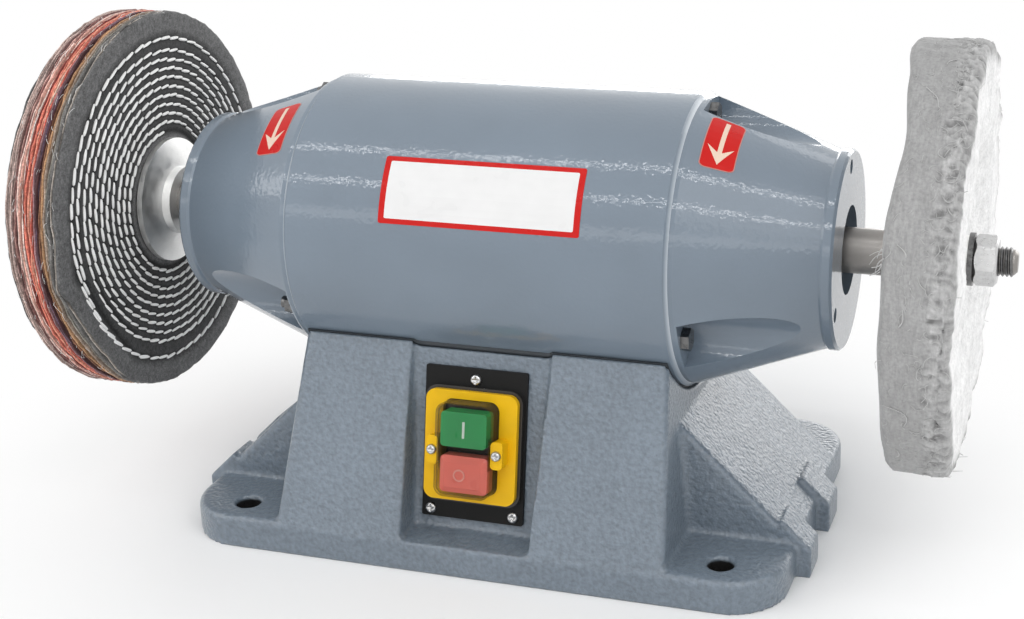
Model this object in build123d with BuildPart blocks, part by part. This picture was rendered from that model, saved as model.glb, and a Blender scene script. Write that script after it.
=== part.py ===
from build123d import *
import os
from math import atan, cos, radians, sin, sqrt, tan

# Bench polishing machine: a double-ended motor on a cast pedestal, with a sewn cloth wheel on the
# left end of its spindle and a loose cotton wheel on the right end.
# X runs along the spindle with right positive, the operator stands at -Y, Z is up, and the origin is
# on the bench under the middle of the machine. All sizes are millimetres.

# Room between pieces
FIT_GAP = 0.05  # radial room in a fixed round fit
SIDE_GAP = 0.2  # room around a fixed piece in its opening
RUNNING_GAP = 0.3  # room between pieces that move past each other

# Spindle
SPINDLE_HEIGHT = 149.0  # axis above the bench
SPINDLE_LENGTH = 490.0  # over both threaded ends
WHEEL_END_LENGTH = 55.0  # flange shoulder to the spindle's end
ROTOR_SEAT_DIAMETER = 30.0
BARE_DIAMETER = 22.0  # stretch between end bell and wheel
WHEEL_SEAT_DIAMETER = 16.0
THREAD_CORE_DIAMETER = 12.0  # root of the M14 thread
SPINDLE_CHAMFER = 1.5

# Ball bearings, size 6205
BEARING_BORE = 25.0
BEARING_DIAMETER = 52.0
BEARING_WIDTH = 15.0
BEARING_RING = 3.4  # thickness of each ring
SHIELD_THICKNESS = 1.0
PRELOAD_THICKNESS = 1.5

# Motor housing
HOUSING_DIAMETER = 144.0
HOUSING_LENGTH = 192.0
HOUSING_WALL = 5.0
HOUSING_EDGE = 2.0

# End bells
BELL_LENGTH = 70.5  # joint to outer face
BELL_RIM = 3.0  # thickness under the tie-bolt heads
BELL_STEP = 2.0  # bell stands this far inside the housing surface
BELL_BAND = 2.0  # straight stretch between joint and cone
BELL_WALL = 7.0
BELL_SPIGOT = 6.0  # length that plugs into the housing
NECK_DIAMETER = 95.0
COLLAR_DIAMETER = 96.5
COLLAR_WIDTH = 6.0
COLLAR_EDGE = 1.2
MOUTH_DIAMETER = 43.0  # opening round the spindle
LIP_THICKNESS = 6.0  # holds the bearing in
SCOOP_RADIUS = 15.0  # pockets that reach the tie bolts
SCOOP_FLOOR = 50.5  # spindle axis to the pocket floor
SCOOP_WALL = 5.0
GUARD_CIRCLE_DIAMETER = 82.0
GUARD_HOLE_DIAMETER = 7.0
GUARD_HOLE_DEPTH = 10.0

# Tie bolts
TIE_COUNT = 3
TIE_DIAMETER = 6.0
TIE_HOLE_DIAMETER = 6.6
TIE_HEAD_FLATS = 10.0
TIE_HEAD_HEIGHT = 4.0
TIE_NUT_HEIGHT = 5.0
TIE_END = 3.0  # thread past the nut
TIE_WALL_GAP = 1.2  # bolt to housing wall

# Motor
STATOR_LENGTH = 80.0
STATOR_BORE = 78.0
SLOT_COUNT = 24
SLOT_WIDTH = 5.0
SLOT_MOUTH = 2.5
SLOT_LIP = 2.0  # tooth tip between bore and slot
SLOT_DEPTH = 13.0
WINDING_OVERHANG = 20.0
AIR_GAP = 0.5  # rotor to stator
END_RING_DIAMETER = 70.0
END_RING_LENGTH = 10.0
END_RING_BORE = 46.0

# Wheels and their flanges
WHEEL_DIAMETER = 200.0
CLOTH_WIDTH = 29.0
CLOTH_HUB_WIDTH = 22.0
CLOTH_PLIES = 3
CLOTH_PLY_GROOVE = 1.2
COTTON_DIAMETER = 206.0
COTTON_WIDTH = 34.0
COTTON_HUB_WIDTH = 15.0
COTTON_EDGE = 6.0
FLANGE_DIAMETER = 66.0
FLANGE_RIM = 3.0
FLANGE_CONE = 2.5
FLANGE_LENGTH = 10.0
FLANGE_BOSS_DIAMETER = 36.0
OUTER_FLANGE_LENGTH = 7.5
OUTER_BOSS_DIAMETER = 22.0
WASHER_DIAMETER = 25.0
WASHER_BORE = 14.4
WASHER_THICKNESS = 2.5
HUB_BLEND = 14.0  # radial run from the clamped hub to the full wheel width
NUT_FLATS = 22.0
NUT_HEIGHT = 11.0
NUT_BEVEL = 1.6
NUT_BEVEL_ANGLE = 40.0
NUT_TURN = 12.0  # how far past level the nut has stopped

# Pedestal casting
FOOT_LENGTH = 307.0
FOOT_DEPTH = 192.0
FOOT_HEIGHT = 17.0
FOOT_CORNER = 29.0
FOOT_EDGE = 3.5
PEDESTAL_LENGTH = 200.0  # at the foot
PEDESTAL_TOP_LENGTH = 186.0  # at the saddle seam
PEDESTAL_EDGE = 4.0
RAMP_EDGE = 3.0
ROOT_FILLET = 4.0  # where the ramps grow out of the walls
SEAM_ANGLE = 36.0  # the saddle ends this far below the spindle's level
GASKET_THICKNESS = 1.2
CASTING_WALL = 8.0
RAMP_WIDTH = 103.0
RAMP_TOP = 73.0
TAB_REACH = 7.0  # tabs stand out past the foot
TAB_RISE = 3.0  # and above the ramp
TAB_CLIMB = 9.5  # how far they run up the ramp
TAB_FRONT_WIDTH = 20.0
TAB_MIDDLE_WIDTH = 23.0
TAB_MIDDLE_START = -2.5
BENCH_HOLE_DIAMETER = 13.0
BENCH_HOLES_LENGTH = 246.0
BENCH_HOLES_DEPTH = 157.0
LEAD_HOLE_DIAMETER = 12.0
LEAD_HOLE_X = 50.0
GROMMET_DIAMETER = 17.0  # closes the lead hole, pierced by the leads
GROMMET_LIP = 1.5
GROMMET_SIDE = 2.0
GROMMET_SKIN = 1.5

# Switch recess in the front wall
RECESS_LEAN = 12.0
RECESS_DEPTH = 11.0  # at the recess's middle
RECESS_LEDGE = 15.5  # height of the ledge under the switch
RECESS_TOP_WIDTH = 72.0
RECESS_FOOT_WIDTH = 66.0
RECESS_FILLET = 3.0
RECESS_HEIGHT = 60.0  # the recess's middle
SWITCH_SHIFT = -2.0  # switch to the right of the recess's middle
SWITCH_DROP = 2.2  # and below it

# Switch
PLATE_WIDTH = 52.4
PLATE_HEIGHT = 75.0
PLATE_THICKNESS = 2.0
PLATE_CORNER = 1.0
PLATE_SCREW_TOP = 32.0
PLATE_SCREW_FOOT = 33.4
PLATE_SCREW_SPREAD = 42.6
BODY_WIDTH = 30.0
BODY_HEIGHT = 42.0
BODY_DEPTH = 30.0
BODY_DROP = 3.0  # body's middle below the plate's middle
BODY_FLANGE = 2.5
BODY_FLANGE_EDGE = 1.5  # shows round the yellow frame
FRAME_WIDTH = 47.0
FRAME_HEIGHT = 54.0
FRAME_THICKNESS = 3.0
FRAME_CORNER = 5.0
FRAME_BOSS_WIDTH = 6.0
FRAME_BOSS_HEIGHT = 13.5
FRAME_BOSS_RISE = 8.0
FRAME_SCREW_SPREAD = 33.0
FRAME_SCREW_DROP = 0.9  # below the frame's middle
WINDOW_WIDTH = 29.0
WINDOW_HEIGHT = 46.0
WINDOW_CORNER = 5.0
COVER_HEIGHT = 11.5  # above the frame
COVER_WALL = 0.8
COVER_EDGE = 1.5
START_WIDTH = 23.4
START_HEIGHT = 17.0
START_UP = 10.2
STOP_WIDTH = 24.2
STOP_HEIGHT = 18.0
STOP_DOWN = 12.0
STOP_CROWN = 2.0
STOP_TAPER = 56.0  # slope of the crown's sides
BUTTON_FACE = 9.5  # button faces above the frame
BUTTON_TRAVEL = 3.0
BUTTON_CORNER = 2.0
STEM_WIDTH = 14.0
STEM_HEIGHT = 9.0
STEM_LENGTH = 14.0
PLATE_SCREW_DIAMETER = 3.0
PLATE_SCREW_HEAD = 5.6
PLATE_SCREW_HEAD_HEIGHT = 2.0
PLATE_SCREW_LENGTH = 8.0
FRAME_SCREW_DIAMETER = 2.5
FRAME_SCREW_HEAD = 5.0
FRAME_SCREW_HEAD_HEIGHT = 2.0
FRAME_SCREW_LENGTH = 12.5

# Under the pedestal
COVER_PLATE_THICKNESS = 2.0
COVER_PLATE_RECESS = 1.0
COVER_PLATE_MARGIN = 4.0
COVER_SCREW_DIAMETER = 4.0
COVER_SCREW_HEAD = 7.0
COVER_SCREW_HEAD_HEIGHT = 0.9
COVER_SCREW_LENGTH = 14.0
COVER_POST_RADIUS = 7.0
COVER_POST_HEIGHT = 24.0
HOUSING_BOLT_DIAMETER = 8.0
HOUSING_BOLT_FLATS = 13.0
HOUSING_BOLT_HEAD = 5.3
HOUSING_BOLTS_LENGTH = 144.0
HOUSING_BOLTS_DEPTH = 28.0
SPOT_FACE_DIAMETER = 18.0
SPOT_FACE_WEB = 5.2  # left between spot face and saddle
HOUSING_BOSS_RADIUS = 8.0
HOUSING_BOSS_RISE = 7.0
CAPACITOR_DIAMETER = 38.0
CAPACITOR_LENGTH = 76.0
CAPACITOR_Y = 40.0
CAPACITOR_LIFT = 1.0  # strap to bottom cover
CAPACITOR_BLADE_LENGTH = 7.0
CAPACITOR_BLADE_WIDTH = 6.3
CAPACITOR_BLADE_THICKNESS = 0.8
CLAMP_WIDTH = 15.0
CLAMP_THICKNESS = 1.5
CLAMP_FOOT = 16.0
TERMINAL_LENGTH = 36.0
TERMINAL_DEPTH = 16.0
TERMINAL_HEIGHT = 18.0
TERMINAL_X = -62.0
TERMINAL_COUNT = 3
TERMINAL_HOLE = 4.0
GLAND_X = -62.0
GLAND_HEIGHT = 50.0
GLAND_THREAD_DIAMETER = 16.0
GLAND_FLATS = 22.0
GLAND_HEX = 5.0
GLAND_CAP = 12.0
GLAND_CAP_DIAMETER = 19.0
GLAND_CORD_DIAMETER = 8.0
GLAND_NUT_THICKNESS = 4.0
GLAND_THREAD_END = 2.0  # thread past the lock nut

# Worked out from the sizes above
housing_radius = HOUSING_DIAMETER / 2
housing_bore = housing_radius - HOUSING_WALL
joint_x = HOUSING_LENGTH / 2
face_x = joint_x + BELL_LENGTH
scoop_x = joint_x + BELL_RIM
scoop_circle = SCOOP_FLOOR + SCOOP_RADIUS
tie_circle = housing_bore - TIE_WALL_GAP - TIE_DIAMETER / 2
bearing_outer_x = face_x - LIP_THICKNESS
saddle_radius = housing_radius + GASKET_THICKNESS
seam_y = saddle_radius * cos(radians(SEAM_ANGLE))
seam_z = SPINDLE_HEIGHT - saddle_radius * sin(radians(SEAM_ANGLE))
shoulder_z = FOOT_HEIGHT - FOOT_EDGE
spindle_end = SPINDLE_LENGTH / 2
shoulder_x = spindle_end - WHEEL_END_LENGTH
wheel_x = shoulder_x + FLANGE_LENGTH
frame_base = PLATE_THICKNESS + BODY_FLANGE
frame_face = frame_base + FRAME_THICKNESS
cover_inner_z = COVER_PLATE_RECESS + COVER_PLATE_THICKNESS

spindle_axis = Axis((0, 0, SPINDLE_HEIGHT), (1, 0, 0))
# Local x runs along the spindle and local y is the radius, straight up.
profile_plane = Plane((0, 0, SPINDLE_HEIGHT), x_dir=(1, 0, 0), z_dir=(0, -1, 0))


def cross_plane(x):
    """Plane square to the spindle at x; local x is +Y and local y is +Z."""
    return Plane((x, 0, SPINDLE_HEIGHT), x_dir=(0, 1, 0), z_dir=(1, 0, 0))


def pedestal_half_length(z):
    """Half the pedestal's length along X at height z."""
    lean = (PEDESTAL_LENGTH - PEDESTAL_TOP_LENGTH) / 2 / (seam_z - shoulder_z)
    return PEDESTAL_LENGTH / 2 - lean * (z - shoulder_z)


def pedestal_half_depth(z):
    """Half the pedestal's depth along Y at height z."""
    lean = (FOOT_DEPTH / 2 - seam_y) / (seam_z - shoulder_z)
    return FOOT_DEPTH / 2 - lean * (z - shoulder_z)


def saddle_bottom(y, radius):
    """Height of the underside of a spindle-centred cylinder at depth y."""
    return SPINDLE_HEIGHT - sqrt(radius**2 - y**2)


recess_y = RECESS_DEPTH - pedestal_half_depth(RECESS_HEIGHT)
recess_lean = radians(RECESS_LEAN)


def recess_floor(z):
    """Y of the recess floor at height z."""
    return recess_y + (z - RECESS_HEIGHT) * tan(recess_lean)


# Local x is +X, local y runs up the recess floor and local z points out at the operator.
recess_plane = Plane(
    (0, recess_y, RECESS_HEIGHT), x_dir=(1, 0, 0), z_dir=(0, -cos(recess_lean), sin(recess_lean))
)
switch_plane = recess_plane.shift_origin(recess_plane.from_local_coords((SWITCH_SHIFT, -SWITCH_DROP, 0)))


def turned(points):
    """A solid turned about the spindle axis from (x, radius) points."""
    with BuildPart() as piece:
        with BuildSketch(profile_plane):
            with BuildLine():
                Polyline(points, close=True)
            make_face()
        revolve(axis=spindle_axis)
    return piece.part


def ring(x_start, x_end, inner_radius, outer_radius):
    """A plain ring about the spindle axis."""
    return turned(
        [(x_start, inner_radius), (x_end, inner_radius), (x_end, outer_radius), (x_start, outer_radius)]
    )


def mirrored(piece):
    """The left-hand twin of a right-hand piece."""
    with BuildPart() as twin:
        mirror(piece, about=Plane.YZ)
    return twin.part


# Pedestal: foot, leaning walls, ramps and tabs
ramp_foot = FOOT_LENGTH / 2
ramp_head = pedestal_half_length(RAMP_TOP)
ramp_lean = atan((RAMP_TOP - FOOT_HEIGHT) / (ramp_foot - ramp_head))
loft_top = seam_z + GASKET_THICKNESS + HOUSING_WALL
cavity_half_length = PEDESTAL_LENGTH / 2 - CASTING_WALL
cavity_half_depth = FOOT_DEPTH / 2 - CASTING_WALL
post_x = cavity_half_length - COVER_POST_RADIUS / 2
post_y = cavity_half_depth - COVER_POST_RADIUS / 2
spot_z = SPINDLE_HEIGHT - saddle_radius - SPOT_FACE_WEB


def hollow_outline(half_size, wall):
    """Front or end view of the pedestal's hollow, upright in the foot and leaning above it."""
    return [
        (half_size(shoulder_z) - wall, 0),
        (half_size(shoulder_z) - wall, shoulder_z),
        (half_size(loft_top) - wall, loft_top),
        (wall - half_size(loft_top), loft_top),
        (wall - half_size(shoulder_z), shoulder_z),
        (wall - half_size(shoulder_z), 0),
    ]


def leaning_outline(half_size):
    """Front or end view of the pedestal's leaning walls, from the foot's shoulder up."""
    return [
        (half_size(shoulder_z), shoulder_z),
        (half_size(loft_top), loft_top),
        (-half_size(loft_top), loft_top),
        (-half_size(shoulder_z), shoulder_z),
    ]


with BuildPart() as switch_recess:
    with BuildSketch(Plane.YZ):
        with BuildLine():
            Polyline(
                (recess_floor(RECESS_LEDGE), RECESS_LEDGE),
                (recess_floor(SPINDLE_HEIGHT), SPINDLE_HEIGHT),
                (-FOOT_DEPTH, SPINDLE_HEIGHT),
                (-FOOT_DEPTH, RECESS_LEDGE),
                close=True,
            )
        make_face()
    extrude(amount=RECESS_TOP_WIDTH, both=True)
    with BuildSketch(recess_plane):
        with BuildLine():
            foot_y = (RECESS_LEDGE - RECESS_HEIGHT) / cos(recess_lean)
            head_y = (seam_z - RECESS_HEIGHT) / cos(recess_lean)
            spread = (RECESS_TOP_WIDTH - RECESS_FOOT_WIDTH) / 2 / (head_y - foot_y)
            low_y = foot_y - FOOT_HEIGHT
            low_half = RECESS_FOOT_WIDTH / 2 - spread * FOOT_HEIGHT
            high_y = head_y + SPINDLE_HEIGHT
            high_half = RECESS_TOP_WIDTH / 2 + spread * SPINDLE_HEIGHT
            Polyline(
                (-low_half, low_y), (low_half, low_y), (high_half, high_y), (-high_half, high_y), close=True
            )
        make_face()
    extrude(amount=FOOT_DEPTH, both=True, mode=Mode.INTERSECT)
    floor_edges = switch_recess.faces().sort_by(Axis.Y)[-1].edges()
    fillet(floor_edges.sort_by(Axis.Z)[:-1], RECESS_FILLET)

with BuildPart() as cavity:
    with BuildSketch(Plane.XZ):
        with BuildLine():
            Polyline(*hollow_outline(pedestal_half_length, CASTING_WALL), close=True)
        make_face()
    extrude(amount=FOOT_DEPTH, both=True)
    with BuildSketch(Plane.YZ):
        with BuildLine():
            Polyline(*hollow_outline(pedestal_half_depth, CASTING_WALL), close=True)
        make_face()
    extrude(amount=FOOT_LENGTH, both=True, mode=Mode.INTERSECT)
    with BuildSketch(cross_plane(0)):
        Circle(saddle_radius + CASTING_WALL)
    extrude(amount=FOOT_LENGTH, both=True, mode=Mode.SUBTRACT)
    with BuildSketch(Plane.YZ):
        with BuildLine():
            Polyline(
                (recess_floor(0) + CASTING_WALL, 0),
                (recess_floor(SPINDLE_HEIGHT) + CASTING_WALL, SPINDLE_HEIGHT),
                (-FOOT_DEPTH, SPINDLE_HEIGHT),
                (-FOOT_DEPTH, 0),
                close=True,
            )
        make_face()
    extrude(amount=RECESS_TOP_WIDTH / 2 + CASTING_WALL, both=True, mode=Mode.SUBTRACT)
    with GridLocations(2 * post_x, 2 * post_y, 2, 2):
        Cylinder(
            COVER_POST_RADIUS,
            COVER_POST_HEIGHT,
            align=(Align.CENTER, Align.CENTER, Align.MIN),
            mode=Mode.SUBTRACT,
        )

with BuildPart() as ramp_hollow:
    with BuildSketch(Plane.XZ):
        with BuildLine():
            inner_head = ramp_head - CASTING_WALL * sin(ramp_lean)
            inner_top = RAMP_TOP - CASTING_WALL * cos(ramp_lean)
            inner_foot = ramp_foot - CASTING_WALL
            inner_foot_z = inner_top - (inner_foot - inner_head) * tan(ramp_lean)
            root_x = cavity_half_length - CASTING_WALL
            Polyline(
                (root_x, 0),
                (inner_foot, 0),
                (inner_foot, inner_foot_z),
                (inner_head, inner_top),
                (root_x, inner_top),
                close=True,
            )
        make_face()
    extrude(amount=RAMP_WIDTH / 2 - CASTING_WALL, both=True)
    mirror(about=Plane.YZ)

with BuildPart() as foot:
    with BuildSketch(Plane.XY):
        RectangleRounded(FOOT_LENGTH, FOOT_DEPTH, FOOT_CORNER)
    extrude(amount=FOOT_HEIGHT)
    fillet(foot.edges().group_by(Axis.Z)[-1], FOOT_EDGE)

with BuildPart() as pedestal:
    with BuildSketch(Plane.XZ):
        with BuildLine():
            Polyline(*leaning_outline(pedestal_half_length), close=True)
        make_face()
    extrude(amount=FOOT_DEPTH, both=True)
    with BuildSketch(Plane.YZ):
        with BuildLine():
            Polyline(*leaning_outline(pedestal_half_depth), close=True)
        make_face()
    extrude(amount=FOOT_LENGTH, both=True, mode=Mode.INTERSECT)
    fillet(pedestal.edges().filter_by(lambda edge: abs(edge.tangent_at(0).Z) > 0.5), PEDESTAL_EDGE)

with BuildPart() as ramps:
    with BuildSketch(Plane.XZ):
        with BuildLine():
            Polyline(
                (0, shoulder_z),
                (ramp_foot, shoulder_z),
                (ramp_foot, FOOT_HEIGHT),
                (ramp_head, RAMP_TOP),
                (0, RAMP_TOP),
                close=True,
            )
        make_face()
    extrude(amount=RAMP_WIDTH / 2, both=True)
    slopes = ramps.edges().filter_by(lambda edge: 0.1 < abs(edge.tangent_at(0).Z) < 0.9)
    fillet(slopes, RAMP_EDGE)
    mirror(about=Plane.YZ)


def tab_outline():
    """Side view of a right-hand tab: it wraps the ramp's foot and stands proud of both."""
    proud_x = TAB_RISE * sin(ramp_lean)
    proud_z = TAB_RISE * cos(ramp_lean)
    climb_x = ramp_foot - TAB_CLIMB
    climb_z = FOOT_HEIGHT + TAB_CLIMB * tan(ramp_lean)
    tab_x = ramp_foot + TAB_REACH
    tab_z = FOOT_HEIGHT + proud_z - (TAB_REACH - proud_x) * tan(ramp_lean)
    return [
        (climb_x, 0),
        (tab_x, 0),
        (tab_x, tab_z),
        (climb_x + proud_x, climb_z + proud_z),
        (climb_x - proud_x, climb_z - proud_z),
    ]


with BuildPart() as tabs:
    for tab_start, tab_width in ((-RAMP_WIDTH / 2, TAB_FRONT_WIDTH), (TAB_MIDDLE_START, TAB_MIDDLE_WIDTH)):
        with BuildSketch(Plane.XZ.offset(-tab_start - tab_width)):
            with BuildLine():
                Polyline(*tab_outline(), close=True)
            make_face()
        extrude(amount=tab_width)
    mirror(about=Plane.YZ)

# The bottom cover closes the pedestal and the ramps, so it is cross-shaped.
cover_main = (2 * (cavity_half_length + COVER_PLATE_MARGIN), 2 * (cavity_half_depth + COVER_PLATE_MARGIN))
cover_arm = (
    2 * (ramp_foot - CASTING_WALL + COVER_PLATE_MARGIN),
    RAMP_WIDTH - 2 * CASTING_WALL + 2 * COVER_PLATE_MARGIN,
)
housing_bolt_pitch = (HOUSING_BOLTS_LENGTH, HOUSING_BOLTS_DEPTH)
housing_bolt_hole = HOUSING_BOLT_DIAMETER / 2 + SIDE_GAP
boss_seat = HOUSING_BOLTS_DEPTH / 2
boss_top = saddle_bottom(boss_seat, housing_bore) + HOUSING_BOSS_RISE
gland_lean = atan((FOOT_DEPTH / 2 - seam_y) / (seam_z - shoulder_z))
# Local z points out of the back wall and local y runs up it.
gland_plane = Plane(
    (GLAND_X, pedestal_half_depth(GLAND_HEIGHT), GLAND_HEIGHT),
    x_dir=(-1, 0, 0),
    z_dir=(0, cos(gland_lean), sin(gland_lean)),
)
gland_wall = CASTING_WALL * cos(gland_lean)
plate_screw_places = [
    (0, PLATE_SCREW_TOP),
    (-PLATE_SCREW_SPREAD / 2, -PLATE_SCREW_FOOT),
    (PLATE_SCREW_SPREAD / 2, -PLATE_SCREW_FOOT),
]

with BuildPart() as base_casting:
    add(foot.part)
    add(pedestal.part)
    add(ramps.part)
    roots = new_edges(foot.part, pedestal.part, ramps.part, combined=base_casting.part)
    fillet(roots.filter_by(lambda edge: edge.bounding_box().size.Z > FOOT_HEIGHT), ROOT_FILLET)
    add(tabs.part)
    with BuildSketch(cross_plane(0)):
        Circle(saddle_radius)
    extrude(amount=FOOT_LENGTH, both=True, mode=Mode.SUBTRACT)
    add(switch_recess.part, mode=Mode.SUBTRACT)
    add(cavity.part, mode=Mode.SUBTRACT)
    add(ramp_hollow.part, mode=Mode.SUBTRACT)
    with BuildSketch(Plane.XY):
        Rectangle(cover_main[0] + 2 * SIDE_GAP, cover_main[1] + 2 * SIDE_GAP)
        Rectangle(cover_arm[0] + 2 * SIDE_GAP, cover_arm[1] + 2 * SIDE_GAP)
    extrude(amount=cover_inner_z, mode=Mode.SUBTRACT)
    with BuildSketch(Plane.XY.offset(cover_inner_z)):
        with GridLocations(2 * post_x, 2 * post_y, 2, 2):
            Circle(COVER_SCREW_DIAMETER / 2 + SIDE_GAP)
    extrude(amount=COVER_SCREW_LENGTH, mode=Mode.SUBTRACT)
    with BuildSketch(Plane.XY):
        with GridLocations(BENCH_HOLES_LENGTH, BENCH_HOLES_DEPTH, 2, 2):
            Circle(BENCH_HOLE_DIAMETER / 2)
    extrude(amount=FOOT_HEIGHT + FOOT_EDGE, mode=Mode.SUBTRACT)
    with BuildSketch(Plane.XY.offset(spot_z)):
        with GridLocations(*housing_bolt_pitch, 2, 2):
            Circle(SPOT_FACE_DIAMETER / 2)
    extrude(amount=-SPOT_FACE_DIAMETER, mode=Mode.SUBTRACT)
    with BuildSketch(Plane.XY.offset(spot_z)):
        with GridLocations(*housing_bolt_pitch, 2, 2):
            Circle(housing_bolt_hole)
    extrude(amount=saddle_radius, mode=Mode.SUBTRACT)
    with BuildSketch(Plane.XY.offset(spot_z - CASTING_WALL)):
        with Locations((LEAD_HOLE_X, 0)):
            Circle(LEAD_HOLE_DIAMETER / 2)
    extrude(amount=saddle_radius, mode=Mode.SUBTRACT)
    with BuildSketch(switch_plane):
        with Locations((0, -BODY_DROP)):
            Rectangle(BODY_WIDTH + 2 * SIDE_GAP, BODY_HEIGHT + 2 * SIDE_GAP)
    extrude(amount=-BODY_DEPTH - SIDE_GAP, mode=Mode.SUBTRACT)
    with BuildSketch(switch_plane):
        with Locations(*plate_screw_places):
            Circle(PLATE_SCREW_DIAMETER / 2 + FIT_GAP)
    extrude(amount=PLATE_THICKNESS - PLATE_SCREW_LENGTH - SIDE_GAP, mode=Mode.SUBTRACT)
    with BuildSketch(gland_plane):
        Circle(GLAND_THREAD_DIAMETER / 2 + SIDE_GAP)
    extrude(amount=-2 * CASTING_WALL, mode=Mode.SUBTRACT)

with BuildPart() as saddle_gasket:
    with BuildSketch(cross_plane(0)):
        Circle(saddle_radius - FIT_GAP)
        Circle(housing_radius + FIT_GAP, mode=Mode.SUBTRACT)
        with Locations((0, -saddle_radius * sin(radians(SEAM_ANGLE)))):
            Rectangle(
                2 * saddle_radius, saddle_radius, align=(Align.CENTER, Align.MAX), mode=Mode.INTERSECT
            )
    extrude(amount=PEDESTAL_TOP_LENGTH / 2 - GASKET_THICKNESS / 2, both=True)
    add(switch_recess.part, mode=Mode.SUBTRACT)
    with BuildSketch(Plane.XY.offset(spot_z)):
        with GridLocations(*housing_bolt_pitch, 2, 2):
            Circle(housing_bolt_hole)
        with Locations((LEAD_HOLE_X, 0)):
            Circle(LEAD_HOLE_DIAMETER / 2)
    extrude(amount=saddle_radius, mode=Mode.SUBTRACT)

with BuildPart() as bottom_cover:
    with BuildSketch(Plane.XY.offset(COVER_PLATE_RECESS)):
        Rectangle(*cover_main)
        Rectangle(*cover_arm)
        with GridLocations(2 * post_x, 2 * post_y, 2, 2):
            Circle(COVER_SCREW_DIAMETER / 2 + SIDE_GAP, mode=Mode.SUBTRACT)
    extrude(amount=COVER_PLATE_THICKNESS)

with BuildPart() as cover_screws:
    with BuildSketch(Plane.XY.offset(COVER_PLATE_RECESS)):
        with GridLocations(2 * post_x, 2 * post_y, 2, 2):
            Circle(COVER_SCREW_HEAD / 2)
    extrude(amount=-COVER_SCREW_HEAD_HEIGHT)
    with BuildSketch(Plane.XY.offset(COVER_PLATE_RECESS)):
        with GridLocations(2 * post_x, 2 * post_y, 2, 2):
            Circle(COVER_SCREW_DIAMETER / 2)
    extrude(amount=COVER_SCREW_LENGTH)

with BuildPart() as housing_bolts:
    with BuildSketch(Plane.XY.offset(spot_z)):
        with GridLocations(*housing_bolt_pitch, 2, 2):
            RegularPolygon(HOUSING_BOLT_FLATS / 2, 6, major_radius=False)
    extrude(amount=-HOUSING_BOLT_HEAD)
    with BuildSketch(Plane.XY.offset(spot_z)):
        with GridLocations(*housing_bolt_pitch, 2, 2):
            Circle(HOUSING_BOLT_DIAMETER / 2)
    extrude(amount=boss_top - spot_z)

# Motor: housing shell, end bells, tie bolts, stator and rotor
with BuildPart() as motor_housing:
    with BuildSketch(profile_plane):
        with BuildLine():
            Polyline(
                (-joint_x, housing_bore),
                (-joint_x, housing_radius - HOUSING_EDGE),
                (HOUSING_EDGE - joint_x, housing_radius),
                (joint_x - HOUSING_EDGE, housing_radius),
                (joint_x, housing_radius - HOUSING_EDGE),
                (joint_x, housing_bore),
                close=True,
            )
        make_face()
    revolve(axis=spindle_axis)
    with BuildSketch(Plane.XY.offset(boss_top)):
        with GridLocations(*housing_bolt_pitch, 2, 2):
            Circle(HOUSING_BOSS_RADIUS)
    extrude(amount=saddle_bottom(boss_seat, housing_radius - HOUSING_WALL / 2) - boss_top)
    with BuildSketch(Plane.XY.offset(spot_z)):
        with GridLocations(*housing_bolt_pitch, 2, 2):
            Circle(housing_bolt_hole)
        with Locations((LEAD_HOLE_X, 0)):
            Circle(LEAD_HOLE_DIAMETER / 2)
    extrude(amount=saddle_radius, mode=Mode.SUBTRACT)

bell_rim = housing_radius - BELL_STEP
bell_spigot = housing_bore - FIT_GAP
bell_start = joint_x - BELL_SPIGOT
neck_x = face_x - COLLAR_WIDTH
neck_radius = NECK_DIAMETER / 2
collar_radius = COLLAR_DIAMETER / 2
mouth_radius = MOUTH_DIAMETER / 2
cone_x = joint_x + BELL_BAND
bell_slope = (bell_rim - neck_radius) / (neck_x - cone_x)
bell_skin = BELL_WALL * sqrt(1 + bell_slope**2)
hub_radius = BEARING_DIAMETER / 2 + BELL_WALL
hub_start = bearing_outer_x - BEARING_WIDTH - PRELOAD_THICKNESS
spigot_bore = bell_spigot - BELL_WALL
hollow_end = neck_x - BELL_WALL

with BuildPart() as bell_hollow:
    with BuildSketch(profile_plane):
        with BuildLine():
            Polyline(
                (bell_start, 0),
                (bell_start, spigot_bore),
                (cone_x + (bell_rim - bell_skin - spigot_bore) / bell_slope, spigot_bore),
                (hollow_end, bell_rim - bell_skin - (hollow_end - cone_x) * bell_slope),
                (hollow_end, hub_radius),
                (hub_start, hub_radius),
                (hub_start, 0),
                close=True,
            )
        make_face()
    revolve(axis=spindle_axis)
    with BuildSketch(cross_plane(bell_start)):
        with PolarLocations(scoop_circle, TIE_COUNT, start_angle=90):
            Circle(SCOOP_RADIUS + SCOOP_WALL)
    extrude(amount=BELL_LENGTH, mode=Mode.SUBTRACT)

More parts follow.
